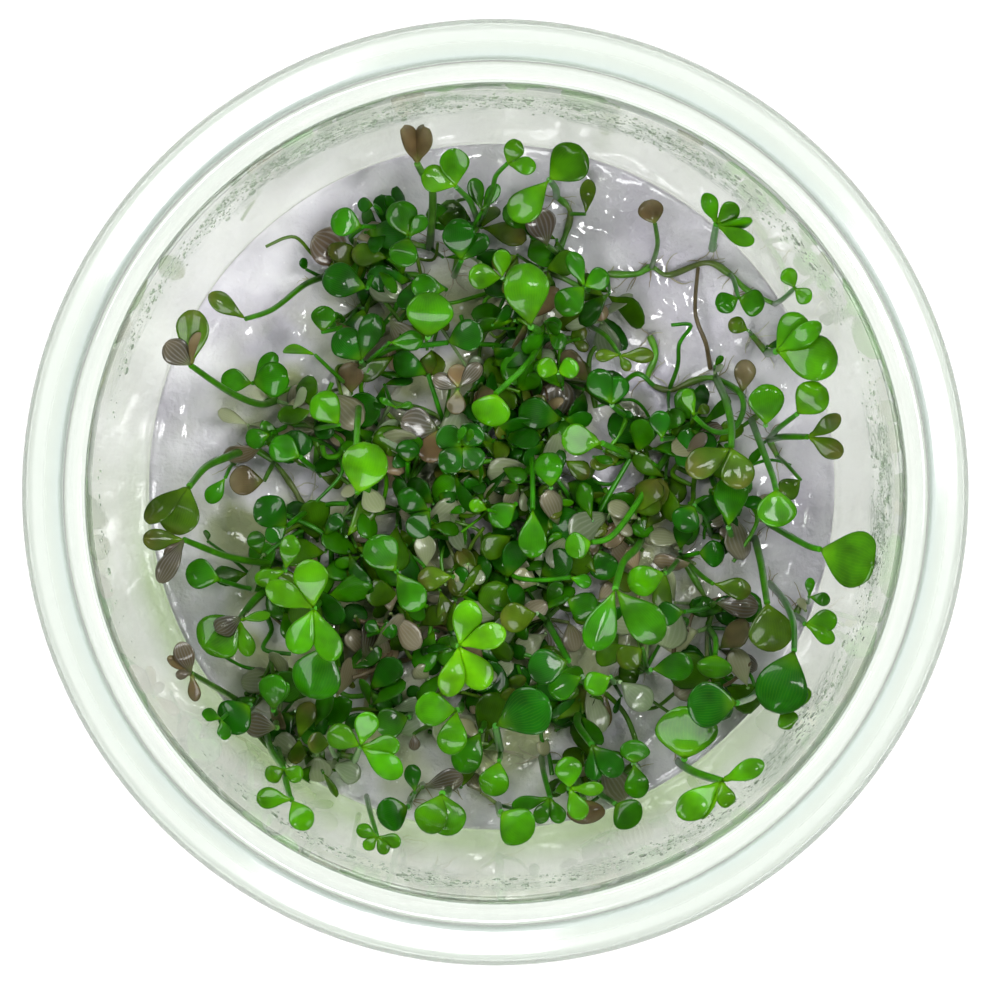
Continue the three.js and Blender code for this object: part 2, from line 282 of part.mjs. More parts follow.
  ["plantlet_38", [[-3.8, -9.4], [-7.4, -9.6]], [
    ["olive", 0.6, 1, [[-4.5, -10, 25]], [[-4.1, -0.3, 0.5, 2.7, 0]]],
    ["pale", 0.5, 1, [[-7.6, -9, 19]], [[-0.3, 3.8, 0.3, 2.5, 0]]],
    ["pale", 0.45, 0, [[-2.8, -8.6, 19]], [[-1.5, -2, 0.2, 1.8, 0], [1.6, -2.2, 0.2, 1.8, 0]]]]],
  ["plantlet_39", [[-10.9, -9], [-12.2, -14.6]], [
    ["mid", 0.7, 0, [[-11, -9.4, 26]], [[-3, 3.8, 0.5, 4.2, 0], [2.8, -4.4, 0.5, 3.4, 0]]],
    ["brown", 0.5, 1, [[-12.2, -15.1, 18]], [[0.4, 4.6, 0.2, 2.5, 0], [0.4, -4.9, 0.2, 2.5, 0]]]]],
  ["frond_16", [[-4.6, -17]], [
    ["lime", 0.9, 0, [[-3.9, -17.9, 44]],
      [[1.4, 5.2, 0.8, 3.2, 0], [5.4, 1.7, 0.8, 2.9, 0], [-1.3, -5.8, 0.8, 2.9, 0], [3.2, -4.8, 0.8, 3.4, 0]]]]],
];

const tones = {
  lime: 0x6fc400,
  bright: 0x4fa000,
  mid: 0x3a7f00,
  deep: 0x175a08,
  olive: 0x5f7420,
  brown: 0x5d4a2c,
  pale: 0xb5bca0,
};

// Shapes

function lathe(profile) {
  const points = profile.map(([radius, height]) => new THREE.Vector2(radius, height));
  return new THREE.LatheGeometry(points, cupSides).rotateX(Math.PI / 2);
}

function addMesh(group, name, geometry, material, place) {
  const mesh = new THREE.Mesh(geometry.translate(-place.x, -place.y, -place.z), material);
  mesh.name = name;
  mesh.position.copy(place);
  group.add(mesh);
}

// Cup and gel

const wallRise = cupHeight - floorTop - floorCorner;

function innerRadius(height) {
  return floorRadius + (mouthRadius - floorRadius) * (height - floorTop - floorCorner) / wallRise;
}

function cupProfile() {
  const bead = mouthRadius + beadWidth;
  const shelf = shelfHeight;
  const outer = (height) => innerRadius(height) + wallThickness;
  return [
    [0, footHeight],
    [footRadius - footWidth - footHeight, footHeight],
    [footRadius - footWidth, 0],
    [footRadius, 0],
    [footRadius + footFlare[0], footFlare[1]],
    [outer(floorTop + floorCorner), floorTop + floorCorner],
    [outer(shelf - 1), shelf - 1],
    [bead + 0.6, shelf - 0.7],
    [rimRadius - skirtThickness, shelf - 1.6],
    [rimRadius - skirtThickness, skirtFoot],
    [rimRadius, skirtFoot],
    [rimRadius, shelf - 1.2],
    [rimRadius - 1, shelf - 0.3],
    [bead + 0.4, shelf + 0.4],
    [bead, shelf + 1],
    [bead - 0.3, cupHeight - beadRound],
    [bead - 0.3 - beadRound, cupHeight],
    [mouthRadius + beadRound, cupHeight],
    [mouthRadius, cupHeight - beadRound],
    [innerRadius(floorTop + floorCorner), floorTop + floorCorner],
    [innerRadius(floorTop) - 0.8, floorTop + 0.7],
    [innerRadius(floorTop) - floorCorner, floorTop],
    [0, floorTop],
  ];
}

function gelProfile() {
  const bottom = floorTop + gelGap;
  const side = floorTop + floorCorner;
  return [
    [0, bottom],
    [innerRadius(bottom) - floorCorner - gelGap, bottom],
    [innerRadius(side) - gelGap, side + gelGap],
    [innerRadius(gelTop) - gelGap, gelTop],
    [0, gelTop],
  ];
}

// Plants

function seen([x, y, z]) {
  const reach = (eye.z - z) / (eye.z - readingHeight);
  return new THREE.Vector3(eye.x + (x - eye.x) * reach, eye.y + (y - eye.y) * reach, z);
}

// A closed skin made of rings of points, each ring joined to the next.
class Skin {
  constructor() {
    this.corners = [];
  }

  triangle(...points) {
    for (const point of points) this.corners.push(point.x, point.y, point.z);
  }

  join(ring, next) {
    ring.forEach((point, i) => {
      const j = (i + 1) % ring.length;
      this.triangle(point, ring[j], next[j]);
      this.triangle(point, next[j], next[i]);
    });
  }

  point(ring, tip) {
    ring.forEach((point, i) => this.triangle(point, ring[(i + 1) % ring.length], tip));
  }

  cap(ring) {
    for (let i = 1; i < ring.length - 1; i += 1) this.triangle(ring[0], ring[i], ring[i + 1]);
  }

  geometry() {
    const geometry = new THREE.BufferGeometry();
    geometry.setAttribute('position', new THREE.Float32BufferAttribute(this.corners, 3));
    geometry.computeVertexNormals();
    return geometry;
  }
}

function bladeFrame(base, tip, roll) {
  const along = tip.clone().sub(base).normalize();
  const across = up.clone().cross(along).normalize();
  across.applyAxisAngle(along, THREE.MathUtils.degToRad(roll));
  return { along, across, above: along.clone().cross(across) };
}

// The four corners of a blade's section: left top, right top, right bottom, left bottom.
function bladeSection(middle, frame, halfWidth, halfThickness) {
  return [[1, 1], [-1, 1], [-1, -1], [1, -1]].map(([side, face]) => middle.clone()
    .addScaledVector(frame.across, side * halfWidth)
    .addScaledVector(frame.above, face * halfThickness));
}

// A wedge-shaped or round blade that grows out of a ring of four points. It keeps within
// the room that the leaflets beside it leave, as half its width over the run from its base.
function growBlade(skin, ring, base, tip, width, frame, room = Infinity) {
  const length = tip.distanceTo(base);
  const fullness = THREE.MathUtils.clamp(2.2 - width / length, 1.1, 1.7);
  let last = ring;
  for (const run of length > largeBlade ? largeBladeRuns : smallBladeRuns) {
    const wanted = width / 2 * Math.sin(Math.PI * run ** fullness) ** 0.6;
    const halfWidth = Math.min(wanted, room * run * length);
    const next = bladeSection(base.clone().lerp(tip, run), frame, halfWidth, bladeHalfThickness);
    skin.join(last, next);
    last = next;
  }
  skin.point(last, tip);
}

// Leaflets in their order round the hub, each with the angles that it may fill before and
// after its own direction, in proportion to the widths of the leaflets beside it.
function aroundHub(hub, tips, leaflets) {
  const full = 2 * Math.PI;
  const order = tips.map((tip, which) => {
    const azimuth = Math.atan2(tip.y - hub.y, tip.x - hub.x);
    return { azimuth, which, tip, width: leaflets[which][3], roll: leaflets[which][4] };
  });
  order.sort((p, q) => p.azimuth - q.azimuth);
  order.forEach((leaflet, i) => {
    const next = order[(i + 1) % order.length];
    const gap = (next.azimuth - leaflet.azimuth + full) % full;
    leaflet.after = gap * leaflet.width / (leaflet.width + next.width);
    next.before = gap - leaflet.after;
  });
  return order;
}

// The directions of the hub's four corners, each with the leaflet that the side after it bears.
function hubCorners(order) {
  if (order.length > 3) return order.map(({ azimuth, before }, i) => [azimuth - before, i]);
  if (order.length === 3) {
    const widest = order.reduce((best, { before }, i) => (before > order[best].before ? i : best), 0);
    return order.flatMap(({ azimuth, before }, i) => (i === widest
      ? [[azimuth - before * widestSplit[0], -1], [azimuth - before * widestSplit[1], i]]
      : [[azimuth - before, i]]));
  }
  return order.flatMap(({ azimuth, before, after }, i) => [
    [azimuth - Math.min(hubSpread, before * hubSpreadShare), i],
    [azimuth + Math.min(hubSpread, after * hubSpreadShare), -1],
  ]);
}

// The ring turned round so that its corners lie nearest to those of the other.
function matched(ring, other) {
  const turns = ring.map((_, turn) => [...ring.slice(turn), ...ring.slice(0, turn)]);
  const gap = (turn) => turn.reduce((sum, point, i) => sum + point.distanceToSquared(other[i]), 0);
  return turns.reduce((best, turn) => (gap(turn) < gap(best) ? turn : best));
}

// Carries a ring's offsets from the hub back along the stalk, to the face that it grows from.
function growStalk(skin, path, steps, offsets, axis, last, face) {
  let turned = offsets;
  let facing = axis;
  let next = last;
  for (let i = steps - 1; i >= 0; i -= 1) {
    if (i === 0 && face) {
      skin.join(matched(face, next), next);
      return;
    }
    const tangent = path.getTangent(i / steps);
    const turn = new THREE.Quaternion().setFromUnitVectors(facing, tangent);
    turned = turned.map((offset) => offset.clone().applyQuaternion(turn));
    facing = tangent;
    const place = path.getPoint(i / steps);
    const ring = turned.map((offset) => place.clone().add(offset));
    skin.join(ring, next);
    next = ring;
  }
  skin.cap([...next].reverse());
}

// One frond: its stalk, and one blade on its end or two to four round its hub.
function growFrond(skin, [, diameter, , way, leaflets], foot, face, elbow) {
  const start = elbow ? [foot, elbow] : [foot];
  const points = [...start, ...way.map(seen)];
  const hub = points[points.length - 1];
  if (way.length === 1) {
    const from = elbow || foot;
    const bend = from.clone().lerp(hub, bendShare);
    bend.z = from.z + (hub.z - from.z) * bendRise;
    points.splice(start.length, 0, bend);
  }
  const path = new THREE.CatmullRomCurve3(points, false, 'centripetal');
  const steps = points.length - 1;
  const [x, y, z] = way[way.length - 1];
  const tips = leaflets.map(([dx, dy, dz]) => seen([x + dx, y + dy, z + dz]));
  const radius = diameter / 2;
  if (tips.length < 2) {
    const tip = tips[0] || hub.clone().add(path.getTangent(1));
    const [, , , width, roll] = leaflets[0] || [0, 0, 0, diameter, 0];
    const frame = bladeFrame(hub, tip, roll);
    const ring = bladeSection(hub, frame, radius, radius * 0.8);
    const offsets = ring.map((corner) => corner.clone().sub(hub));
    growStalk(skin, path, steps, offsets, frame.along, ring, face);
    growBlade(skin, ring, hub, tip, width, frame);
    return;
  }
  const order = aroundHub(hub, tips, leaflets);
  const corners = hubCorners(order);
  const offsets = corners.map(([angle]) => new THREE.Vector3(Math.cos(angle), Math.sin(angle), 0)
    .multiplyScalar(radius));
  const lower = offsets.map((offset) => hub.clone().add(offset));
  const upper = lower.map((corner) => corner.clone().setZ(corner.z + hubHeight));
  growStalk(skin, path, steps, offsets, up, lower, face);
  skin.cap(upper);
  const middle = hub.clone().setZ(hub.z + hubHeight / 2);
  corners.forEach(([, owner], i) => {
    const j = (i + 1) % corners.length;
    const side = [upper[j], upper[i], lower[i], lower[j]];
    if (owner < 0) {
      skin.cap(side);
      return;
    }
    const { tip, width, roll, before, after } = order[owner];
    const room = Math.tan(Math.min(before, after, widestRoom)) * roomShare;
    growBlade(skin, side, middle, tip, width, bladeFrame(middle, tip, roll), room);
  });
}

// The creeping stem has a short box at each place, whose top and sides the fronds grow from.
function creeperBoxes(feet) {
  const path = feet.length > 1 ? new THREE.CatmullRomCurve3(feet, false, 'centripetal') : null;
  return feet.map((foot, i) => {
    const facing = path ? path.getTangent(i / (feet.length - 1)) : new THREE.Vector3(1, 0, 0);
    const side = up.clone().cross(facing).normalize();
    const ring = (run) => [[1, 1], [-1, 1], [-1, -1], [1, -1]].map(([across, above]) => foot.clone()
      .addScaledVector(facing, run * creeperWidth / 2)
      .addScaledVector(side, across * creeperWidth / 2)
      .addScaledVector(up, above * creeperWidth / 2));
    return { start: ring(-1), end: ring(1), side };
  });
}

// Pairs the fronds at one place with faces: 0 is the top, 3 the side that side points to, 1 the
// other side. The frond that leans least takes the top.
function facesFor(fronds, foot, side) {
  const leans = fronds.map((row) => ({ row, lean: seen(row[3][0]).sub(foot).dot(side) }));
  leans.sort((p, q) => p.lean - q.lean);
  if (leans.length > 2) return leans.map(({ row }, i) => [row, [1, 0, 3][i]]);
  leans.sort((p, q) => Math.abs(p.lean) - Math.abs(q.lean));
  return leans.map(({ row, lean }, i) => [row, i === 0 ? 0 : lean > 0 ? 3 : 1]);
}

function plantlet([, places, fronds]) {
  const feet = places.map(([x, y]) => seen([x, y, gelTop + restGap + creeperWidth / 2]));
  const skin = new Skin();
  if (fronds.length === 1 && feet.length === 1) {
    growFrond(skin, fronds[0], feet[0], null);
    return { geometry: skin.geometry(), place: feet[0] };
  }
  const boxes = creeperBoxes(feet);
  skin.cap([...boxes[0].start].reverse());
  boxes.forEach(({ start, end, side }, i) => {
    const faces = [0, 1, 2, 3].map((k) => {
      const next = (k + 1) % 4;
      return [end[k], start[k], start[next], end[next]];
    });
    const taken = facesFor(fronds.filter(([, , at]) => at === i), feet[i], side);
    for (const [row, face] of taken) {
      const out = { 1: -1, 3: 1 }[face];
      const elbow = out && feet[i].clone().addScaledVector(side, out * elbowReach);
      if (elbow) elbow.z += elbowRise;
      growFrond(skin, row, feet[i], faces[face], elbow);
    }
    const bare = [0, 1, 2, 3].filter((face) => !taken.some(([, used]) => used === face));
    for (const face of bare) skin.cap(faces[face]);
    if (i > 0) skin.join(boxes[i - 1].end, start);
  });
  skin.cap(boxes[boxes.length - 1].end);
  return { geometry: skin.geometry(), place: feet[0] };
}

// Assembly

const waterClover = new THREE.Group();
const atBase = new THREE.Vector3(0, 0, 0);
const plastic = new THREE.MeshStandardMaterial({
  color: 0xe6eee6, roughness: 0.12, metalness: 0, transparent: true, opacity: 0.35,
});
const agar = new THREE.MeshStandardMaterial({ color: 0xb9b4bf, roughness: 0.2, metalness: 0 });

addMesh(waterClover, 'cup', lathe(cupProfile()), plastic, atBase);
addMesh(waterClover, 'gel', lathe(gelProfile()), agar, atBase);

for (const row of plantlets) {
  const [name, , fronds] = row;
  const { geometry, place } = plantlet(row);
  const green = new THREE.MeshStandardMaterial({ color: tones[fronds[0][0]], roughness: 0.3, metalness: 0 });
  addMesh(waterClover, name, geometry, green, place);
}

export default waterClover;
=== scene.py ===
# Dwarf water clover grown in a clear tissue culture cup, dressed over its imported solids.
# Sizes are in millimetres until a mesh is made; +Z is up, and the origin is under the cup's centre.
import math
import random

import bpy
from mathutils import Matrix, Quaternion, Vector, noise


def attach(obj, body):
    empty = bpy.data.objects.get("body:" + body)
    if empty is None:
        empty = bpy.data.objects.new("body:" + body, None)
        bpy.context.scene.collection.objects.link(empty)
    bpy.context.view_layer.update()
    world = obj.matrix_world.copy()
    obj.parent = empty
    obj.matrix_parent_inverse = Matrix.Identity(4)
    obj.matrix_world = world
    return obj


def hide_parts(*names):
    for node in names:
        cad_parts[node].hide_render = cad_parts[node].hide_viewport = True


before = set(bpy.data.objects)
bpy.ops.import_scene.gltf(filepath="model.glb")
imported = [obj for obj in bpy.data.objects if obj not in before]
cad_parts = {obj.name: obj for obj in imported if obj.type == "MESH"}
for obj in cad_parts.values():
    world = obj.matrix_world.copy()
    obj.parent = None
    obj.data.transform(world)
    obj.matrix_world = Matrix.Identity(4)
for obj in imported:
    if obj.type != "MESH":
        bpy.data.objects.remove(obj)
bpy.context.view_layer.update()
mm = 0.001
up = Vector((0, 0, 1))

# Each plantlet: its name, the places of its creeping stem, then its fronds.
# Each frond: its tone, its stalk's diameter, the place on the creeping stem that it grows from, the
# stalk's way points up to the hub, then its leaflets.
# Each leaflet: the step to its tip in x, y and height, its width, then its roll and own tone, if any.
plantlets = [
  ["plantlet_01", [[-19.4, 24], [-15.9, 25.4], [-13.4, 24.6], [-10, 24.4], [-7.9, 24.2]], [
    ["olive", 0.7, 0, [[-21.5, 23.1, 19], [-25, 20.4, 24], [-28.1, 19.3, 27]], [[-4.2, 2.8, 1, 2.2]]],
    ["brown", 0.6, 1, [[-16.4, 25.9, 18.5]], [[-4, 2.8, 0.6, 4.6]]],
    ["deep", 0.7, 2, [[-14.3, 22.8, 24]], [[-5, 1.4, 1, 3.9]]],
    ["olive", 0.5, 3, [[-12, 26.2, 20]], [[-4.1, 0.6, 0.5, 2.7]]],
    ["mid", 0.6, 4, [[-5.3, 22.6, 22]], [[-4, 0.5, 0.5, 3]]]]],
  ["plantlet_02", [[-12.3, 29.6], [-9.6, 28], [-7.2, 27.4]], [
    ["deep", 0.5, 0, [[-12.8, 31.6, 21], [-13.6, 32.2, 22]], [[-1.8, 0.1, 0.3, 1.7]]],
    ["mid", 0.6, 0, [[-14.9, 29.8, 24]], [[-3.5, 0.8, 0.5, 3.3, 10]]],
    ["mid", 0.7, 1, [[-9.6, 28.6, 26]],
      [[-1.2, 4, 1, 3.6], [1.9, 2.4, 1, 1.9, 20], [-0.9, -3.4, 0.5, 3.3]]],
    ["brown", 0.9, 2, [[-7, 30.1, 22], [-6.9, 33.9, 29], [-8, 35.8, 36], [-8.6, 36.9, 41]],
      [[-1.5, 4.2, 3, 2.8, 45], [0.7, 4.2, 3, 2.8, -45]]]]],
  ["plantlet_03", [[-1.6, 30], [-3.7, 27.2], [-4.4, 24.2]], [
    ["bright", 0.7, 0, [[-2.6, 32.6, 28], [-4.2, 34.3, 37]], [[-0.4, 4.4, 1, 3.3], [-3.9, 1.5, 0.6, 3]]],
    ["mid", 0.5, 1, [[-1.3, 31.5, 25]], [[-1, 3.8, 1, 1.9], [1.9, 3.1, 1, 1.6]]],
    ["bright", 0.6, 0, [[-0.2, 33.4, 29], [0.3, 35.5, 36], [1.6, 36.9, 39]],
      [[1.2, 2.7, 1, 2.2], [3.3, -0.4, 0.5, 2]]],
    ["deep", 0.7, 2, [[-3.6, 25.9, 24]], [[-0.5, 4.8, 1, 3.6], [2.9, 2.9, 0.5, 2.3]]]]],
  ["plantlet_04", [[7.2, 33.2], [8.8, 31.2], [7.4, 26.6]], [
    ["bright", 0.85, 0, [[6.4, 35.1, 36]], [[3.9, 3.4, 1.5, 4.6], [-4.3, -4.6, -1, 3.6]]],
    ["brown", 0.7, 2, [[6.2, 27.6, 22]], [[-1.4, 4.3, 0.5, 3.5]]],
    ["olive", 0.5, 1, [[10.5, 31.2, 17.5]], [[0.4, 4, 0.3, 1.8]]]]],
  ["plantlet_05", [[1.9, 23.2], [5.6, 24.8], [10.8, 22.4]], [
    ["bright", 0.7, 0, [[1, 24, 27]], [[-3.8, 0.2, 0.8, 2.9], [0, 3.2, 1, 2.1, 10]]],
    ["mid", 0.7, 2, [[10.4, 23, 27]], [[-1.6, 3.9, 1, 2.1], [2.7, 1.4, 0.8, 2.6], [-2.9, -3, 0.5, 3.4]]]]],
  ["plantlet_06", [[5.2, 17.8], [8.2, 17.2]], [
    ["bright", 0.9, 0, [[4.3, 18.4, 32]], [[-1, 7.2, 1.5, 5]]],
    ["mid", 0.5, 0, [[6.4, 17.3, 22]], [[0.8, 2.2, 0.5, 1.9], [1.9, -1, 0.3, 2]]],
    ["bright", 0.8, 0, [[4.8, 15.6, 20], [3.3, 13.6, 25], [0.3, 10.8, 29]], [[-1, -3.6, 0.3, 4.4]]],
    ["olive", 0.5, 1, [[8.8, 17.2, 18.8]], [[1.8, 0.9, 0.3, 1.9], [2, -1.5, 0.3, 1.3]]]]],
  ["plantlet_07", [[-14.6, 14], [-16.4, 11.6]], [
    ["deep", 0.75, 0, [[-11.5, 16, 21], [-8, 16.3, 23], [-5.2, 16.6, 25]], [[4, 1.5, 0.8, 3.6]]],
    ["deep", 0.7, 0, [[-15, 14.5, 27]], [[-2.7, 3.4, 1, 3.6], [1.6, 5.4, 1.5, 2.7]]],
    ["mid", 0.5, 0, [[-11.8, 16.6, 26]], [[3.8, 0.3, 0.5, 2.3]]],
    ["bright", 0.5, 1, [[-20.2, 15.2, 25]], [[-3.7, 0.4, 0.5, 1.6, 50]]],
    ["brown", 0.6, 1, [[-16.1, 10.8, 19]], [[0, 3.6, 0.5, 2.9]]]]],
  ["plantlet_08", [[-15.4, 20.4], [-13.2, 21.6], [-9.6, 20.6], [-6.2, 18.8]], [
    ["mid", 0.6, 0, [[-17, 18.5, 21], [-19.4, 17.8, 24]], [[0.3, 3, 0.5, 2.8]]],
    ["deep", 0.5, 1, [[-10.8, 21.7, 18]], [[2, 0.2, 0.3, 1.3]]],
    ["bright", 0.8, 3, [[-7.4, 17.2, 29]], [[0.3, 5.2, 1.5, 5.2]]]]],
  ["plantlet_09", [[-24.7, 10], [-26.6, 12]], [
    ["olive", 0.8, 0, [[-26.5, 9.6, 21], [-29.2, 10.6, 29], [-31.5, 12, 36], [-34.3, 14, 42]],
      [[0.3, 6.3, 2, 3.6], [-2.9, 2.6, 1, 3, 0, "brown"], [0.9, 3.8, 1.5, 1.8, 30, "brown"]]],
    ["pale", 0.5, 0, [[-21, 8.9, 18.5]], [[-2.4, 0.3, 0.3, 2.4]]],
    ["mid", 0.6, 1, [[-27.3, 12, 22]], [[-3.6, 0.5, 0.5, 2.7], [4, 0.8, 1, 4], [2.6, 3.4, 1, 2]]]]],
  ["plantlet_10", [[-20.2, 2.2], [-20.1, 6.8], [-23.2, 7.2]], [
    ["mid", 0.7, 0, [[-21.9, 3.6, 24]], [[-3.4, 1.6, 0.5, 3.3]]],
    ["olive", 0.7, 1, [[-18.6, 6.3, 17.6], [-17.1, 5.2, 19], [-17.6, 3.8, 20], [-19, 3.7, 21],
      [-19.4, 4.8, 22]], []],
    ["bright", 0.6, 1, [[-17.5, 7.3, 28]], [[-2.6, 3.4, 1, 3.6]]],
    ["mid", 0.6, 2, [[-25.3, 6.2, 20]], [[-2.8, -0.8, 0.3, 2.4]]]]],
  ["plantlet_11", [[-29.6, 2.8], [-27.7, 4.6], [-24.9, 3], [-22.7, 0.1], [-21, -2.4], [-17.2, -3.3],
    [-10.8, -2.4]], [
    ["brown", 0.6, 2, [[-26, 0.9, 18.5]], [[-4, 0, 0.5, 3.4]]],
    ["deep", 0.7, 4, [[-23.4, -4.2, 23]], [[-3.4, 3, 1, 3.9], [-2.4, -1.6, 0.5, 2.1]]],
    ["deep", 0.6, 6, [[-7.2, -2.4, 23]], [[-3.6, 1.9, 0.5, 2.7], [-2.2, -3, 0.5, 3]]],
    ["olive", 0.95, 1, [[-30, 3.7, 22], [-32.6, 2.5, 28], [-34.5, 0.3, 34]],
      [[-1.9, -5.5, 1, 4.5], [-5, -4, 2, 2.6, 20]]],
    ["mid", 0.5, 0, [[-30.4, 1.3, 22]], [[-2, -2.9, 0.5, 2]]]]],
  ["plantlet_12", [[-11.6, 9.8], [-5.6, 7.4], [-9.7, 0.6]], [
    ["mid", 0.45, 0, [[-11, 9.2, 21]], [[-1.9, 1.1, 0.3, 0.8], [1.8, 0.5, 0.3, 0.8]]],
    ["brown", 0.6, 1, [[-6.2, 6.8, 20]], [[-4.3, 0.8, 0.5, 4], [-1.4, -3.8, 0.5, 3]]],
    ["brown", 0.6, 1, [[-4, 11.4, 25]],
      [[-0.1, 2.8, 0.5, 2.2], [-0.3, -3, 0.5, 2.2], [-2.8, 1.3, 0.5, 2], [2.6, 2.8, 0.5, 2]]],
    ["deep", 0.6, 1, [[-7.4, 13, 21]], [[-3.9, 2, 0.5, 3.2, -20]]],
    ["deep", 0.6, 2, [[-9.7, 3, 22]], [[0.1, 2.6, 0.3, 2.7]]]]],
  ["frond_01", [[-3.2, 4.2]], [
    ["deep", 0.8, 0, [[-3.5, 4.8, 28]],
      [[-2.8, 1.8, 1, 3], [1.9, 2.4, 1, 3], [2, -2.4, 1, 3], [-2.4, -2.7, 1, 3]]]]],
  ["frond_02", [[-15.2, 10]], [
    ["lime", 0.75, 0, [[-15.4, 7.6, 31], [-15.6, 3, 36], [-15.4, -0.6, 38]], [[1.5, 5.8, 0.8, 5.1]]]]],
  ["plantlet_13", [[7.6, 12.2], [7.2, 8]], [
    ["bright", 0.6, 0, [[7.4, 13.2, 27]], [[-2.3, 1, 0.5, 2.4], [2.3, 0.9, 0.5, 2.4]]],
    ["brown", 0.6, 1, [[7.2, 7.9, 18.5]], [[0.3, 4.4, 0.5, 4.1]]]]],
  ["plantlet_14", [[10.4, 18.8], [11.6, 20.4]], [
    ["olive", 0.6, 0, [[12.8, 17.4, 23], [14.4, 15.2, 28]],
      [[-2.8, -0.1, 0.3, 1.5], [3.9, -0.1, 0.8, 1.8], [1.1, -1.8, 0.2, 1.2]]],
    ["brown", 0.5, 1, [[10.5, 19.4, 20]], [[2.6, 1, 0.3, 2]]]]],
  ["plantlet_15", [[16.4, 7.8], [15.6, 3.6]], [
    ["deep", 0.7, 0, [[14.6, 8.6, 22], [13.5, 9.5, 26]], [[-2.1, 4, 1, 3], [1.1, 3.2, 1, 2.6]]],
    ["bright", 0.8, 1, [[12.4, 5.2, 30]], [[-4.6, 0.6, 1, 3.5]]],
    ["olive", 0.5, 1, [[14, 2.8, 18.2]], [[-0.6, 2.2, 0.3, 2], [-3, 0.1, 0.3, 1.6]]]]],
  ["plantlet_16", [[19.9, 4], [20.6, 5.8]], [
    ["bright", 0.8, 0, [[18.5, 1.8, 19], [16.3, -1.8, 22], [13.5, -5.4, 25.5], [11.2, -6.1, 27]],
      [[-3, -0.7, 0.5, 3]]],
    ["deep", 0.6, 1, [[19.2, 5.6, 26]], [[-0.3, 3.3, 0.5, 2.4]]],
    ["deep", 0.5, 0, [[20.5, 4.6, 20]], [[2.8, 1.7, 0.5, 2.4], [2.1, -1.8, 0.3, 2.2]]]]],
  ["runner_01", [[17.8, 17.4], [18.5, 15.2], [17.6, 12.4], [20, 11.2], [23, 12.3], [25.4, 12.5],
    [28.6, 10.4]], [
    ["bright", 0.7, 5, [[27.8, 11.2, 19.4], [28.5, 9.3, 21], [27.7, 7.2, 22], [26.1, 6.4, 23],
      [24.5, 6.8, 24], [22.9, 8.2, 25]], [[-1, 3.2, 0.8, 1.6]]],
    ["olive", 0.9, 5, [[26.5, 10, 25], [27.1, 7.2, 28], [27.1, 4.7, 30]],
      [[1.3, -4.7, 0.5, 3.8], [-5.1, -2.8, 0.5, 3.4]]],
    ["brown", 0.5, 6, [[28.3, 10.8, 19]], [[0.5, 3.9, 0.5, 2.5]]],
    ["deep", 0.5, 3, [[21, 14, 18], [21.2, 16.5, 20], [22.5, 18.6, 22], [20.3, 18.6, 23]], []]]],
  ["plantlet_17", [[29.4, 7.8], [30.6, 8.6]], [
    ["bright", 0.7, 1, [[31, 7.2, 34]], [[0.2, 4.7, 1, 3.9]]],
    ["bright", 0.8, 0, [[30.5, 4.9, 26], [31.8, 1.5, 34], [32.2, -0.1, 37]], [[0.1, -4.3, 0.5, 4.4]]]]],
  ["plantlet_18", [[31.4, 5.6], [32.4, 3.6]], [
    ["bright", 0.7, 0, [[32.4, 6.8, 30], [34.6, 8.5, 41]], [[2.9, 3.2, 1.5, 3.9]]],
    ["olive", 0.8, 0, [[33, 5.9, 29], [35.8, 5.9, 37]], [[3.7, 2.5, 1.5, 2, 20], [4, -2, 1.5, 2.4, -20]]],
    ["olive", 0.5, 1, [[35, 1, 24]], [[-2.4, -1.8, 0.3, 2.6]]]]],
  ["plantlet_19", [[31.2, 15.4], [29.3, 17.6]], [
    ["bright", 0.9, 0, [[32.2, 15.6, 42]], [[7, -1.4, 1.5, 5], [3.1, 4.1, 1, 3.6], [5.1, 3.2, 2.4, 2.4]]],
    ["olive", 0.5, 1, [[29, 18, 20]], [[-2.2, 1, 0.3, 2]]]]],
  ["runner_02", [[13, 24.4], [16.3, 24.4], [18, 25.2], [20, 24.3], [24.3, 25.7], [27, 24.3],
    [29, 22.5], [32, 21]], [
    ["brown", 0.6, 2, [[18.3, 26.1, 21], [18.7, 27.9, 26], [18.4, 30.1, 30]], [[-0.7, 2.7, 0.5, 2.9]]],
    ["mid", 0.6, 5, [[27.9, 21.7, 23]], [[-2.5, -1, 0.5, 2.5], [2.9, -1, 0.5, 3]]],
    ["bright", 0.6, 7, [[33, 21.6, 32], [34.3, 22.8, 42]], [[-1, 2.2, 0.5, 1.9], [1.8, -1.5, 0.5, 1.9]]]]],
  ["frond_03", [[25.1, 27.6]], [
    ["bright", 0.9, 0, [[24.9, 27.4, 28], [25.4, 30.1, 42]],
      [[-1.4, 3.5, 1, 1.9], [2.4, 2.2, 1, 2.2], [4.1, 0.3, 1.5, 2, 60], [4.3, -2.1, 1.5, 2.2, 40]]]]],
  ["plantlet_20", [[-23.6, -8.6], [-25.7, -11.6]], [
    ["olive", 0.8, 0, [[-27.9, -8.2, 23], [-30.8, -7.5, 28], [-32.9, -6.7, 32], [-35.1, -5.8, 36]],
      [[-4.7, 0.1, 1, 2.4], [-2.1, -2.5, 0.5, 1.8, 0, "brown"], [-2.9, -4.9, 1, 2.3, 0, "brown"]]],
    ["mid", 0.5, 0, [[-26.4, -7.6, 19]], [[-0.8, 2.8, 0.3, 2.1]]],
    ["bright", 0.6, 0, [[-23.6, -9.3, 28]], [[0.7, 4.1, 0.5, 2.3], [-3.5, -1.2, 0.5, 2]]],
    ["mid", 0.6, 1, [[-28.4, -11.2, 22], [-31, -10.4, 27]], [[-3.9, 1.2, 0.5, 3.4]]],
    ["bright", 0.8, 1, [[-27, -12.4, 22], [-28.9, -14.9, 32]],
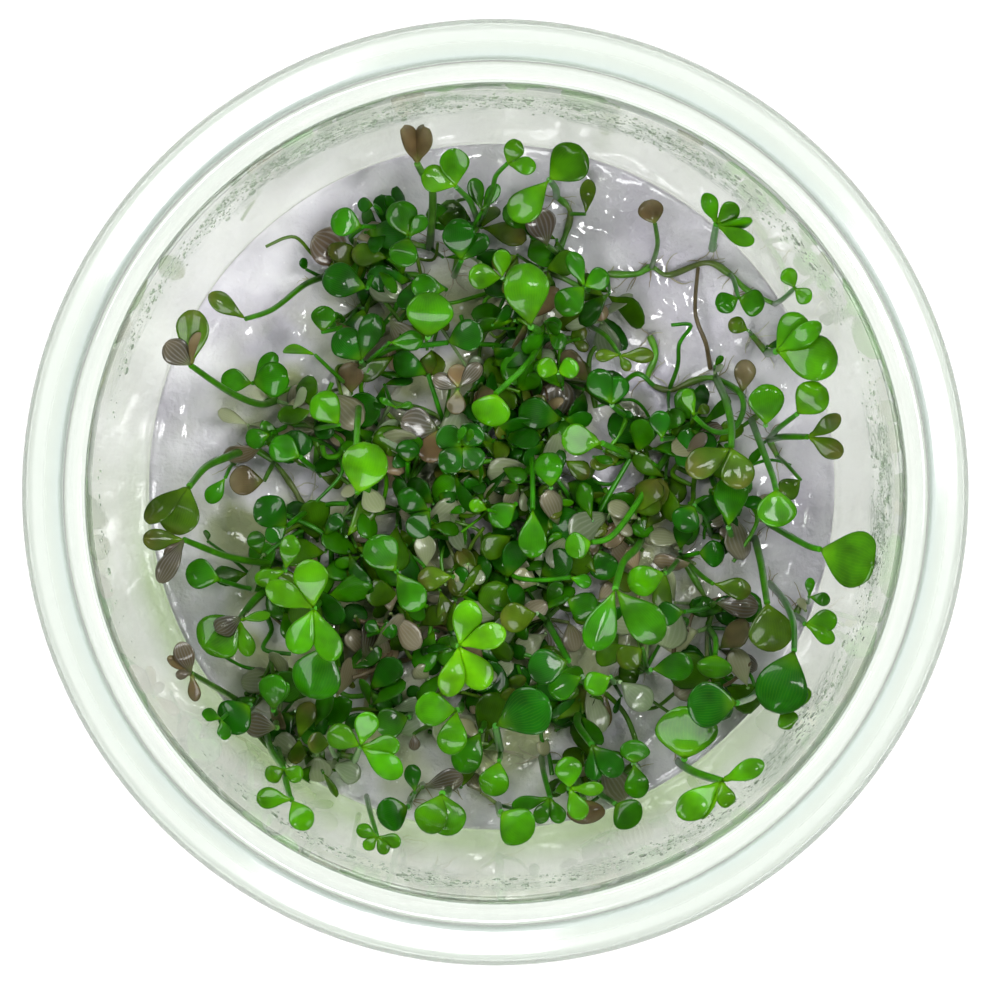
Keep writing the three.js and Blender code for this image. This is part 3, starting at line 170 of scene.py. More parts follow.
      [[-4.2, -3.2, 1, 5.3], [1.2, -4.2, 0.3, 2], [3.6, 0.6, 0.3, 1.2]]]]],
  ["frond_04", [[-19.7, -12.8]], [
    ["bright", 0.9, 0, [[-20.4, -13.6, 41]],
      [[-5.4, 2.7, 0.8, 2.9], [-0.6, 5.6, 1, 3.8], [-2.4, -5.1, 0.8, 3.2], [2.4, -6, 0.8, 3]]]]],
  ["plantlet_21", [[-17.4, -17.2], [-15.4, -17]], [
    ["mid", 0.9, 0, [[-18.9, -17.8, 31]], [[-2, -6, 1, 5.6]]],
    ["deep", 0.6, 1, [[-12.9, -16.2, 22]], [[2, 0.2, 0.3, 2], [-1.6, 0.9, 0.3, 1.6]]]]],
  ["plantlet_22", [[-28.9, -24.2], [-27.4, -24.8]], [
    ["brown", 0.75, 0, [[-30.5, -23.2, 26], [-34.3, -21, 40]],
      [[-1.3, 3.6, 1, 2.3], [-2.7, 1.9, 1, 1.2], [-1.8, -0.2, 0.5, 1.1], [0.5, -3.2, 0.5, 1.4]]],
    ["deep", 0.7, 1, [[-27.6, -24.6, 32]], [[-3.3, -2.6, 0.5, 4.2]]],
    ["mid", 0.5, 0, [[-30.9, -26.2, 37]], [[-2.2, 0.8, 0.5, 1.5], [0.5, -2.4, 0.5, 1.6]]]]],
  ["plantlet_23", [[-24.6, -26.4], [-23.4, -28.2], [-20.6, -30.2]], [
    ["mid", 0.7, 0, [[-24.9, -24.8, 24], [-25, -25.2, 34]], [[0, 4.1, 1, 3.2], [1.6, 3.2, 0.4, 1.4]]],
    ["brown", 0.8, 0, [[-24.6, -27.2, 26]], [[-3.7, 0.6, 0.3, 2.9]]],
    ["pale", 0.6, 2, [[-20, -30.4, 19]], [[0.2, -3, 0.3, 3.2]]]]],
  ["frond_05", [[-25.8, -27.6]], [
    ["bright", 0.75, 0, [[-25.2, -29.8, 28], [-23.8, -31.9, 39]], [[-2.1, -1, 0.4, 2], [2.1, -1, 0.4, 2]]]]],
  ["frond_06", [[-24.7, -29]], [
    ["bright", 0.75, 0, [[-24, -31.4, 30], [-23.6, -33.2, 40], [-23.2, -34.8, 51], [-22.9, -35.4, 54]],
      [[-4, 0.3, 1, 2.3], [1.9, -3.4, 1, 2.7]]]]],
  ["plantlet_24", [[-15.7, -30.6], [-17.6, -30.2]], [
    ["bright", 0.8, 0, [[-15.1, -29.3, 43]],
      [[-3.7, 1.7, 0.8, 2.9], [1.1, 3.9, 0.8, 2.6], [4.5, 0.1, 0.8, 2.3, -10], [4.7, -3.4, 0.5, 2.8]]],
    ["olive", 0.6, 1, [[-18.6, -29.1, 36]], [[-2.5, 0.3, 0.3, 2.4]]]]],
  ["plantlet_25", [[-5.4, -26.4], [-9.4, -25.6]], [
    ["brown", 0.55, 0, [[-8, -27.3, 21], [-9, -27.9, 23]], [[0.1, -1.9, 0.2, 1.3]]],
    ["mid", 0.7, 1, [[-9.6, -26, 34]], [[-3.7, -1.2, 0.5, 3.4]]]]],
  ["frond_07", [[-3.6, -24.6]], [
    ["bright", 0.8, 0, [[-4.1, -25.2, 40]], [[-4.8, 0.2, 0.8, 3.7], [-0.9, -5.1, 0.8, 3.2]]]]],
  ["plantlet_26", [[-1, -26.4], [0.8, -29.6]], [
    ["mid", 0.7, 0, [[-1.4, -27.6, 34]], [[-2.5, -4.7, 0.5, 3.4]]],
    ["deep", 0.9, 1, [[0.3, -27, 38]], [[6.2, 2.8, 1, 5.4]]],
    ["bright", 0.6, 1, [[0.7, -31, 35]], [[-1, -4, 0.5, 3.4]]]]],
  ["plantlet_27", [[-9.4, -35.3], [-8, -33.6]], [
    ["deep", 0.7, 0, [[-9.7, -36.2, 43]], [[-3.4, -1.4, 0.5, 3.7]]],
    ["deep", 0.5, 0, [[-8.9, -34.6, 29]], [[-0.4, 3.2, 0.5, 1.9]]],
    ["brown", 0.6, 1, [[-8, -34, 24]], [[4.6, 1.2, 0.3, 2.6]]]]],
  ["frond_08", [[-5, -33.8]], [
    ["bright", 0.9, 0, [[-5.8, -34.7, 47]], [[-1.9, -4.5, 0.5, 3.6, 12], [1.2, -4.8, 0.5, 3.8, -12]]]]],
  ["frond_09", [[-14.4, -35]], [
    ["bright", 0.6, 0, [[-14, -36.8, 36], [-13.2, -39.6, 50]],
      [[-2.3, 1, 0.5, 1.6], [-1.5, -1.4, 0.5, 1.4], [2.7, -0.8, 0.5, 1.6], [1.1, -2, 0.5, 1.4]]]]],
  ["frond_10", [[0.6, -36]], [
    ["bright", 0.8, 0, [[0.9, -36.8, 47]], [[3.4, -3, 0.8, 4.3]]]]],
  ["frond_11", [[5.5, -30.6]], [
    ["mid", 0.7, 0, [[5.8, -32.5, 30], [6.5, -35.2, 41]],
      [[-4.4, -1, 0.5, 1.7], [-1.5, -2.9, 0.5, 1.8], [1.3, -2.9, 0.5, 1.8]]]]],
  ["plantlet_28", [[9.6, -33], [11.6, -34], [16.4, -31.6]], [
    ["mid", 0.7, 2, [[16, -31.3, 37]], [[0.2, 2.7, 0.5, 3.3], [0.6, -4, 0.5, 2.7]]],
    ["bright", 0.8, 0, [[8.7, -34.1, 46]],
      [[-0.2, 3.6, 0.8, 2.9], [3.9, 0, 0.8, 1.7, 10], [1.5, -3.6, 0.8, 2.3]]],
    ["brown", 0.7, 0, [[10.4, -35.4, 35]], [[0.4, -2.8, 0.5, 4.2]]],
    ["mid", 0.75, 1, [[12.2, -34.8, 26], [13.9, -35.9, 40]], [[2.7, -2.2, 0.5, 3.7]]]]],
  ["plantlet_29", [[10, -25.2], [10.6, -22.6]], [
    ["deep", 0.9, 0, [[9.6, -26.7, 26], [11.2, -29.1, 38]], [[0.5, -4.2, 0.5, 2.1], [3.4, -3.5, 0.5, 2.8]]],
    ["mid", 0.7, 1, [[10.2, -21.4, 31]], [[-3.8, -1.8, 0.5, 3]]]]],
  ["plantlet_30", [[13.6, -21.9], [17.4, -20.6]], [
    ["bright", 0.6, 0, [[13.4, -21.4, 33]], [[-2.9, -1.4, 0.3, 2.8]]],
    ["brown", 0.5, 0, [[12.8, -22.8, 19]], [[-0.8, -4.8, 0.3, 2.5]]],
    ["pale", 0.6, 0, [[14.5, -22, 22]], [[3.4, -3, 0.5, 3.2]]],
    ["olive", 0.6, 1, [[17, -18.2, 24]], [[-2.7, -1.8, 0.5, 3]]],
    ["mid", 0.7, 1, [[18, -20.6, 30]], [[4.8, 0.6, 0.8, 3.2]]]]],
  ["frond_12", [[21, -29.6]], [
    ["bright", 0.9, 0, [[21.8, -30.8, 40]], [[0.4, 6, 1, 6.7]]]]],
  ["frond_13", [[21.2, -31.1]], [
    ["lime", 1, 0, [[21.9, -31.7, 38], [23.4, -32.5, 49], [26, -33.3, 54]],
      [[4.9, 2.1, 1, 2.2], [-4.9, -4.1, 1, 3.2], [-2.2, -4.4, 1, 1.6, 60], [0.8, -3.1, 0.5, 2]]]]],
  ["plantlet_31", [[30.2, -22.8], [31.8, -21.2]], [
    ["deep", 0.8, 0, [[29.4, -23.8, 33], [27.8, -24.4, 45]], [[-5.7, -0.4, 0.6, 5]]],
    ["pale", 0.6, 0, [[29, -22.6, 20]], [[-1.6, 4.4, 0.3, 2.6]]],
    ["bright", 0.6, 1, [[32, -23.6, 34], [32.9, -25.3, 45.5]], [[3.2, 2.4, 1, 1.9], [1.3, -2, 0.5, 2.4]]]]],
  ["frond_14", [[31.5, -10.8]], [
    ["deep", 0.8, 0, [[33.2, -12.8, 30], [34.2, -15.3, 40], [34.3, -18.4, 47]], [[-2.4, -7.1, 1, 5.7]]]]],
  ["plantlet_32", [[34.4, -14.4], [35.2, -12.8]], [
    ["bright", 0.7, 0, [[35.5, -15.4, 42]], [[3.7, 0.6, 0.8, 2.4], [3.4, -2, 0.5, 1.8]]],
    ["mid", 0.5, 1, [[36, -12.3, 38]], [[0.1, 2.2, 0.3, 1.1], [2.4, -0.5, 0.3, 1.5]]]]],
  ["plantlet_33", [[24.8, -5.3], [27, -5.6], [29.8, -5.7]], [
    ["deep", 0.6, 0, [[24.1, -3.3, 20], [22.9, -1.9, 24]], [[-1.7, -2.9, 0.3, 3.3]]],
    ["mid", 0.8, 1, [[26.8, -4.4, 24]], [[0.4, 6, 1, 3.9]]],
    ["olive", 0.9, 2, [[30.5, -8.5, 26], [31.2, -13, 33]], [[0.8, -5.6, 0.5, 5]]]]],
  ["frond_15", [[31.4, -4]], [
    ["bright", 0.8, 0, [[32.4, -4.6, 28], [35.6, -6.4, 42], [37.2, -6.9, 46]], [[6.2, -1.7, 5, 6.2]]]]],
  ["plantlet_34", [[21.4, -7.7], [24.6, -13.4], [24.4, -15.8]], [
    ["olive", 0.6, 0, [[23.6, -9.8, 24], [25, -10.8, 28]], [[4.4, -0.9, 0.5, 2.4]]],
    ["bright", 0.6, 0, [[20, -9.4, 29], [19.6, -9.6, 32]], [[-4.2, -1.4, 0.5, 3.5]]],
    ["deep", 0.6, 0, [[23.4, -7.3, 20]], [[3, -0.1, 0.3, 3]]],
    ["brown", 0.6, 1, [[25.2, -13, 21]], [[5, -0.5, 0.5, 2.9]]],
    ["deep", 0.6, 1, [[21.8, -14, 26]], [[-3.3, -0.4, 0.3, 2.7]]],
    ["bright", 0.7, 2, [[25.3, -17, 24], [25.3, -18.9, 28]], [[-0.2, -2.7, 0.3, 4]]],
    ["pale", 0.6, 2, [[23.4, -16.2, 19]], [[-4.3, -1.2, 0.5, 3.6]]]]],
  ["plantlet_35", [[16.9, -5.8], [12.4, -6.6]], [
    ["bright", 0.9, 0, [[16.3, -6.8, 24], [14.8, -8.4, 32], [13.9, -11.4, 39]],
      [[-2.6, -7, 1, 3.7, 0, "mid"], [5.3, -5.9, 1, 4.2, 0, "mid"]]],
    ["mid", 0.6, 0, [[17.2, -3.1, 18.5]], [[-0.3, -2.5, 0.3, 2.6]]],
    ["deep", 0.6, 1, [[11.7, -6.8, 20]], [[1.6, -3.5, 0.3, 3.3]]],
    ["brown", 0.5, 1, [[12.8, -2, 18.5]], [[0, -2.6, 0.2, 2.2]]]]],
  ["plantlet_36", [[8, -8.4], [8.2, -12.2], [6, -14.8]], [
    ["pale", 0.6, 0, [[7.9, -7.4, 19.5]], [[-3, -2.2, 0.3, 3.3]]],
    ["mid", 0.6, 1, [[8.4, -12.6, 23]], [[3.4, -1.4, 0.5, 3.4]]],
    ["olive", 0.6, 2, [[5, -14.2, 25]], [[-4.2, -0.8, 0.5, 3.4]]],
    ["brown", 0.6, 2, [[6, -15.6, 19]], [[-0.4, -3.2, 0.3, 2.6]]],
    ["deep", 0.8, 2, [[8.6, -19.6, 35]], [[-4.6, -1.2, 0.5, 4]]]]],
  ["plantlet_37", [[4.5, 8.3], [6.2, 1], [1.6, -3], [1.3, -6.6]], [
    ["mid", 0.7, 0, [[4.4, 4.4, 19], [4.5, 1.1, 22], [4.5, -2.3, 24]], [[0, -5.6, 0.5, 3.2]]],
    ["mid", 0.6, 1, [[6.6, 0.1, 25]], [[-0.4, 4, 0.8, 3.3]]],
    ["mid", 0.6, 3, [[2.1, -9.7, 20], [5, -10.4, 24], [8.8, -10.1, 27]], [[2.4, -0.7, 0.3, 1.6]]],
    ["mid", 0.6, 2, [[2.6, -1.7, 22]], [[-2.9, -2.2, 0.3, 3]]],
    ["bright", 0.45, 2, [[-0.6, -2.4, 24]], [[-2.1, 0.8, 0.3, 1.6]]]]],
  ["plantlet_38", [[-3.8, -9.4], [-7.4, -9.6]], [
    ["olive", 0.6, 1, [[-4.5, -10, 25]], [[-4.1, -0.3, 0.5, 2.7]]],
    ["pale", 0.5, 1, [[-7.6, -9, 19]], [[-0.3, 3.8, 0.3, 2.5]]],
    ["pale", 0.45, 0, [[-2.8, -8.6, 19]], [[-1.5, -2, 0.2, 1.8], [1.6, -2.2, 0.2, 1.8]]]]],
  ["plantlet_39", [[-10.9, -9], [-12.2, -14.6]], [
    ["mid", 0.7, 0, [[-11, -9.4, 26]], [[-3, 3.8, 0.5, 4.2], [2.8, -4.4, 0.5, 3.4]]],
    ["brown", 0.5, 1, [[-12.2, -15.1, 18]], [[0.4, 4.6, 0.2, 2.5], [0.4, -4.9, 0.2, 2.5]]]]],
  ["frond_16", [[-4.6, -17]], [
    ["lime", 0.9, 0, [[-3.9, -17.9, 44]],
      [[1.4, 5.2, 0.8, 3.2], [5.4, 1.7, 0.8, 2.9], [-1.3, -5.8, 0.8, 2.9], [3.2, -4.8, 0.8, 3.4]]]]],
]

# Sprigs low in the tuft, seen between the fronds above. Each: tone, the place and height of its
# hub, and the step to its leaflet's tip in x and y, and the leaflet's width.
sprigs = [
    ("mid", -19.3, -12.6, 20, 5.6, 1.6, 3.6), ("deep", -17.6, -16.6, 18, 2.9, 3.2, 3.2),
    ("tan", -12.6, -19.8, 17, -0.2, 3, 2.2), ("olive", -0.9, -8.4, 18, -3.4, 1, 2.8),
    ("tan", -4.8, -12.6, 17, -2.7, 0.1, 1.1), ("tan", -5.2, -16.4, 17, -2.8, -0.6, 2),
    ("olive", -8.4, -15.6, 18, 3, 1.8, 2.6), ("deep", -5.3, -18.4, 19, -3, -0.2, 1.5),
    ("deep", -8.6, -19.5, 18, 2.6, -1.2, 2.2), ("olive", -17.8, -9.6, 18, 2.5, -0.8, 2),
    ("tan", -16.2, -5.6, 17, 2.2, 0.8, 2.3), ("tan", -18.6, -5.6, 16.8, 1.6, -1.7, 1.6),
    ("olive", -17.5, -7.6, 17.5, 2.6, 1.2, 1.8), ("deep", -6.2, -1.2, 19, 2, 0.9, 2.4),
    ("deep", -10.6, -1.6, 20, -0.2, 2.8, 2.6), ("olive", -14.6, -1.2, 17, 2.2, -0.6, 2),
    ("mid", -5.4, -2.6, 18, 2.4, 0.1, 1.1), ("deep", -7.6, -4.4, 19, 1.8, 1.2, 2.2),
    ("deep", 1.6, -1, 21, -0.1, -3.2, 2.8), ("mid", 2.6, 0.8, 22, -1, -1.4, 2.2),
    ("pale", 3.3, -0.2, 20, 0.4, -2.4, 1.6), ("mid", 6.4, -1.5, 20, 0.5, -3, 1.2),
    ("bright", 7, -1.3, 21, 2.2, -0.4, 1.2), ("tan", 9.7, -1, 16.6, -2.4, -2, 1.8),
    ("olive", 9.9, -0.7, 17, 3.6, -0.6, 1.7), ("deep", 12.4, -4.4, 18, 1.2, 2.6, 2.4),
    ("olive", 9.6, -4.2, 18, 3.4, -0.6, 2.4), ("pale", 9.4, -8.3, 19, 0.1, 3.8, 2.7),
    ("mid", 10, -9.2, 18, 0.4, -2, 1.2), ("tan", 12, -12.7, 17, 1.8, 1.9, 2),
    ("deep", 13.6, -15.4, 18, 0.8, 2, 1.2), ("tan", 4.6, -10.8, 17, 1.2, -3, 2.2),
    ("mid", 6.3, -10.4, 19, 0.8, -3, 1.6), ("olive", 5.3, -12.9, 18, 1.8, 0.4, 1),
    ("deep", 0.2, -11.6, 19, 0.6, -2, 1.6), ("tan", 8.6, -15.2, 17, 0.8, -3.4, 3),
    ("deep", 1.8, -17, 19, 1.8, -2.4, 2.4), ("olive", 4.2, -16.6, 17, -2.4, -1.2, 1.4),
    ("deep", 2.6, -13.2, 19, 2, -1.8, 1.6), ("tan", 5.5, -17, 16.8, 3, -1.4, 2),
    ("mid", -14, 13.5, 19, 2.6, -0.9, 1), ("olive", -4.8, 11.9, 20, -2, 1, 0.9),
    ("pale", -3, 13.8, 18, 2, 0.6, 2.2), ("deep", -2.8, 11, 20, 2, 1.6, 1.8),
    ("mid", -10.6, 3.4, 20, 2.4, 2.4, 2), ("pale", -6.6, 6.2, 19, 0.4, -3.4, 1.6),
    ("olive", -6.6, 3.4, 20, 4.2, -1.2, 1.6), ("tan", -10.6, 3, 16.8, -1.2, -3, 2.4),
    ("tan", -18.6, 7, 17, 1.4, -2.2, 1.8), ("olive", -19.6, 1.4, 18, 2.6, -0.8, 1.8),
    ("deep", -4, 0.4, 19, -1.8, 1, 2), ("deep", -2.6, 1.2, 20, 1.4, -1.8, 1.8),
    ("olive", 6, 18.6, 19, 4.6, 0.6, 3), ("mid", 6, 19, 22, 1.6, -1.2, 1.6),
    ("deep", 0, 16, 21, 2.2, -1, 2.6), ("olive", 3.2, 12.6, 18, 0.8, -3.2, 1.2),
    ("deep", 5, 9.6, 18, 0, 3.6, 1.8), ("deep", 1.2, 8, 19, 1.4, -3.4, 2),
    ("deep", 2.8, 9.4, 18, -2.2, 1, 1.8), ("deep", 3.2, 6.2, 18, -2.8, -0.2, 2.2),
    ("deep", 1, 3.6, 19, 2.4, 0.6, 1.8), ("mid", 1, 2.4, 21, 2.8, -1.4, 2.2),
    ("olive", 0.2, 5.6, 19, 1.1, -2.2, 2.2), ("olive", 6, 6.4, 18, 1, -1.8, 2),
    ("tan", 5, 5.4, 17, 1.4, -1.2, 1.8), ("olive", 8.2, 3.2, 19, 2.8, -1.8, 2.4),
    ("mid", 11.4, 3.6, 20, 2.2, -0.6, 1.2), ("olive", 15.2, 4.6, 19, 2, -1.6, 1.8),
    ("tan", 14, 8, 17, 2, -2.6, 2.2), ("deep", 14, 9, 21, 2, -0.8, 0.9),
    ("deep", 20, 9, 21, -1.6, -2.4, 2.2), ("deep", -17, -27.4, 20, 2.4, 1.6, 2.6),
    ("tan", -14.6, -25.6, 17, 1.2, 1.8, 1.8), ("olive", -17, -20.6, 19, 1, -2.2, 1.6),
    ("deep", -14, -22.6, 19, 3.6, 0.6, 2.2), ("deep", -12.6, -24.4, 19, 2.2, 1, 1.8),
    ("mid", -12.2, -21, 20, 1.8, -1.4, 1.4), ("pale", -7.4, -21.6, 19, -1.4, 1.2, 2.2),
    ("deep", -8.4, -24.4, 19, -1, 2, 1.8), ("pale", -19.2, -33, 17, 1, 2, 2.4),
    ("olive", -3.6, -34, 18, 1.4, 2.6, 2), ("tan", -1.4, -34.6, 17, -1.2, 2.2, 2),
    ("brown", -2, -22.6, 18, -2.2, -0.4, 1.2), ("tan", -2.6, -24, 17, 0.8, -1.4, 1.5),
    ("mid", 6.4, -21.4, 22, 4, 0.2, 2.4), ("olive", 0.4, -22.6, 19, 3.4, 1, 2),
    ("olive", 0.4, -24.8, 19, 2, 2, 2), ("pale", 10.8, -22, 19, 1.4, -6, 2.8),
    ("pale", 7.4, -24.6, 17, 2, -1.8, 2.4), ("pale", 6.2, -28.6, 18, -0.8, -1.6, 2),
    ("deep", 14.6, -23.6, 19, -0.8, -2, 1), ("bright", 7, -34.6, 24, 1.6, 0.8, 1.4),
    ("olive", 10.2, -30, 18, 0.4, -3.8, 0.9), ("bright", -5.7, 26.3, 20, 3.4, 0.3, 0.8),
    ("mid", -13, 13.2, 19, 2.7, -0.3, 1), ("mid", -3.9, 5.4, 29, 0.8, 1.6, 1.1),
    ("mid", -2.9, 5.2, 29, 0.5, 1.6, 1.1), ("olive", 23.2, 8.6, 20, 1.4, 0.8, 1.4),
    ("mid", 25.2, 13.9, 18, 0.9, 1.2, 1), ("pale", 25.2, 13.2, 18, 1, 0.8, 0.9),
    ("deep", 31.2, 16.2, 18, 1.9, 0.5, 1.7), ("mid", -32.4, -6, 30, -0.2, 1.3, 1),
    ("mid", 6.6, -1.6, 19, 0.4, -2.5, 1), ("deep", -4.2, -18, 20, -3.5, -0.6, 1.2),
    ("deep", 24.8, -13, 18, -2.2, 0.1, 1.3), ("pale", 35.6, -13.9, 26, -0.8, 1.4, 1.2),
    ("deep", -23.8, -31.4, 22, -2, 2.6, 0.9), ("deep", 22.4, -26.6, 24, 4.6, 3.4, 4.6),
    ("deep", -21.2, 24.9, 17, -0.6, 1.2, 1.4), ("deep", 4, -37.6, 30, 0.3, -1.6, 1.3),
    ("brown", -28.6, -14.6, 34, -3, -1.7, 2.8), ("pale", -14.2, 3.6, 19, 4, 3.8, 4.4),
]

# Bare stems seen low in the tuft. Each: tone, diameter and way points, from the gel up.
looseStems = [
    ("brown", 0.55, [(24.7, 13.7, 15.4), (24.2, 16.5, 17.6), (23, 20, 18.4), (23.3, 25.1, 15.6)]),
    ("brown", 0.6, [(-18.5, -14.2, 15.4), (-14.5, -15.2, 18.5), (-8.2, -16.2, 18.5)]),
    ("moss", 0.6, [(-9.6, 0.8, 15.4), (-9.4, 5, 18.6), (-8.8, 9.4, 20)]),
    ("mid", 0.7, [(8, -12.5, 15.4), (12, -3, 19), (15.6, 3.4, 21)]),
    ("moss", 0.6, [(-20.4, 5.4, 15.4), (-17.8, 1.8, 17.6), (-14.8, -0.6, 18)]),
]

# Thickets of small sprigs that fill the tuft. Each: its middle, half width, half depth and how many.
thickets = [
    (-4, 26, 13, 6, 20), (6, 21, 8, 5, 11), (-11, 20, 8, 5, 10), (2, 13, 4, 7, 12), (-2, 5, 9, 4, 12),
    (5, 6, 4, 7, 10), (-22, 6, 6, 6, 10), (-12, -5, 12, 3, 14), (-8, -10, 14, 5, 20), (8, -9, 9, 7, 16),
    (22, -4, 9, 6, 13), (20, 5, 5, 4, 8), (27, 2, 5, 7, 6), (-24, -11, 5, 4, 5), (-22, -22, 7, 5, 8),
    (-12, -21, 8, 5, 11), (1, -19, 9, 5, 14), (22, -14, 9, 6, 12), (-3, -27, 6, 4, 7), (9, -25, 3, 4, 7),
    (24, -22, 4, 2, 5), (10, -32, 4, 2, 4), (-19, -30, 6, 3, 8), (-7, 2, 9, 6, 16), (4, -4, 8, 6, 14),
    (-3, -15, 10, 5, 12), (6, 10, 6, 6, 8), (13, 0, 6, 6, 9), (-15, 9, 5, 7, 8),
]

# Leaf tones, from the brightest young leaf to the browned, soaked and glassy ones, then those of stems.
tones = {
    "lime": "#4e9200", "bright": "#3e8200", "mid": "#286e00", "deep": "#105202", "moss": "#386404",
    "olive": "#42620c", "brown": "#5e5238", "tan": "#a89c74", "pale": "#b6c492", "leafBase": "#7fb510",
    "stalk": "#2f8200", "stalkFoot": "#2c5208", "sprigStalk": "#2a6a04", "creeper": "#478a10",
    "oldCreeper": "#56662a", "root": "#7a6a48",
}
tipTones = {"olive": "#5c5228", "brown": "#80735a", "tan": "#b3a98c"}


def linear(hexColour):
    channels = [int(hexColour[i:i + 2], 16) / 255 for i in (1, 3, 5)]
    return [c / 12.92 if c <= 0.04045 else ((c + 0.055) / 1.055) ** 2.4 for c in channels] + [1.0]


def toneOf(name):
    return linear(tones[name])


# An input is given a value, a hex colour or the socket that is linked to it.
def addNode(tree, kind, settings=None, inputs=None):
    node = tree.nodes.new(kind)
    for name, value in (settings or {}).items():
        setattr(node, name, value)
    for name, value in (inputs or {}).items():
        if isinstance(value, bpy.types.NodeSocket):
            tree.links.new(value, node.inputs[name])
        else:
            node.inputs[name].default_value = linear(value) if str(value).startswith("#") else value
    return node


def mathOf(tree, operation, *values):
    return addNode(tree, "ShaderNodeMath", {"operation": operation}, dict(enumerate(values))).outputs[0]


def mapped(tree, value, low, high, toLow=0.0, toHigh=1.0, blend="LINEAR"):
    return addNode(tree, "ShaderNodeMapRange", {"interpolation_type": blend}, {
        "Value": value, "From Min": low, "From Max": high, "To Min": toLow, "To Max": toHigh}).outputs[0]


def noiseOf(tree, place, scale, detail=2.0, kind="FBM"):
    inputs = {"Vector": place, "Scale": scale, "Detail": detail}
    return addNode(tree, "ShaderNodeTexNoise", {"noise_type": kind}, inputs).outputs[0]


def mixOf(tree, share, first, second):
    return addNode(tree, "ShaderNodeMix", {"data_type": "RGBA"}, {0: share, 6: first, 7: second}).outputs[2]


def vectorOf(tree, operation, inputs):
    return addNode(tree, "ShaderNodeVectorMath", {"operation": operation}, inputs).outputs


def scaledOf(tree, vector, factor):
    return vectorOf(tree, "SCALE", {0: vector, "Scale": factor})["Vector"]


# Distance in metres from the cup's axis, or from an axis that the offset moves.
def radiusOf(tree, place, offset=(0, 0, 0)):
    flat = vectorOf(tree, "MULTIPLY_ADD", {0: place, 1: (1, 1, 0), 2: offset})["Vector"]
    return vectorOf(tree, "LENGTH", {0: flat})["Value"]


def attributeOf(tree, name, output="Fac"):
    return addNode(tree, "ShaderNodeAttribute", {"attribute_name": name}).outputs[output]


def placeOf(tree):
    return addNode(tree, "ShaderNodeTexCoord").outputs["Object"]


def rampOf(tree, factor, *stops):
    ramp = addNode(tree, "ShaderNodeValToRGB", None, {"Fac": factor})
    elements = ramp.color_ramp.elements
    while len(elements) < len(stops):
        elements.new(0.5)
    for element, (position, colour) in zip(elements, stops):
        element.position = position
        element.color = linear(colour)
    return ramp.outputs["Color"]


# Where a point lies across its leaflet, from 0 to 1.
def leafAcross(tree):
    leafMap = addNode(tree, "ShaderNodeUVMap", {"uv_map": "leafMap"})
    return addNode(tree, "ShaderNodeSeparateXYZ", None, {"Vector": leafMap.outputs[0]}).outputs["X"]


def veinsOf(tree, across, spacing, low):
    return mapped(tree, mathOf(tree, "SINE", mathOf(tree, "MULTIPLY", across, spacing)), low, 1.0)


def newMaterial(name):
    material = bpy.data.materials.new(name)
    material.use_nodes = True
    material.node_tree.nodes.clear()
    return material, material.node_tree


# Gives a material its shader. Relief is the height, strength and distance of its bump.
def finishMaterial(material, look, relief=None, volume=None):
    tree = material.node_tree
    if relief is not None:
        bump = addNode(tree, "ShaderNodeBump", None, dict(zip(("Height", "Strength", "Distance"), relief)))
        look["Normal"] = bump.outputs[0]
    ends = {"Surface": addNode(tree, "ShaderNodeBsdfPrincipled", None, look).outputs[0]}
    if volume is not None:
        ends["Volume"] = volume
    addNode(tree, "ShaderNodeOutputMaterial", None, ends)
    return material


# Materials

# Polypropylene, injection moulded: clear and faintly green, a little milky on the rim, with a fine
# grey-green mottle of fog high on the inside of the wall. Rings of painted shade and painted refraction
# lines lie on the rim, and a painted green reflection of the leaves lies low on the wall's front.
def clearPolypropylene():
    material, tree = newMaterial("clearPolypropylene")
    place = placeOf(tree)
    radius = radiusOf(tree, place)
    patches = mapped(tree, noiseOf(tree, place, 190, 3), 0.36, 0.56)
    grain = mapped(tree, noiseOf(tree, place, 1100, 4), 0.4, 0.6, 0.25)
    film = mathOf(tree, "MULTIPLY", mathOf(tree, "MULTIPLY", attributeOf(tree, "fog"), patches), grain)
    moist = rampOf(tree, film, (0.0, "#f9feef"), (1.0, "#b4c8b0"))
    # The green over the front of the wall is a painted reflection of the leaves.
    wall = mixOf(tree, attributeOf(tree, "paintedGreenReflection"), moist, "#a9cc80")
    # Painted shade and refraction lines: grey-teal where the bead drops to the shelf, grey-green on the
    # slope.
    rim = rampOf(tree, mapped(tree, radius, 0.043, 0.051), (0.12, "#f8fbf6"), (0.2, "#e8ede7"),
                 (0.32, "#e8ede7"), (0.38, "#dde8e4"), (0.56, "#e4ebe3"), (0.66, "#ebf1ea"))
    satin = mapped(tree, radius, 0.0436, 0.047, 0.0, 0.1)
    bulk = addNode(tree, "ShaderNodeVolumeAbsorption", None, {"Color": "#e2eedb", "Density": 16.0})
    return finishMaterial(material, {
        "Base Color": mixOf(tree, attributeOf(tree, "inside"), rim, wall), "IOR": 1.49,
        "Roughness": mathOf(tree, "ADD", mapped(tree, film, 0.0, 1.0, 0.04, 0.25), satin),
        "Transmission Weight": mapped(tree, radius, 0.0434, 0.0448, 0.94, 0.72),
    }, (film, 0.25, 0.0002), bulk.outputs[0])
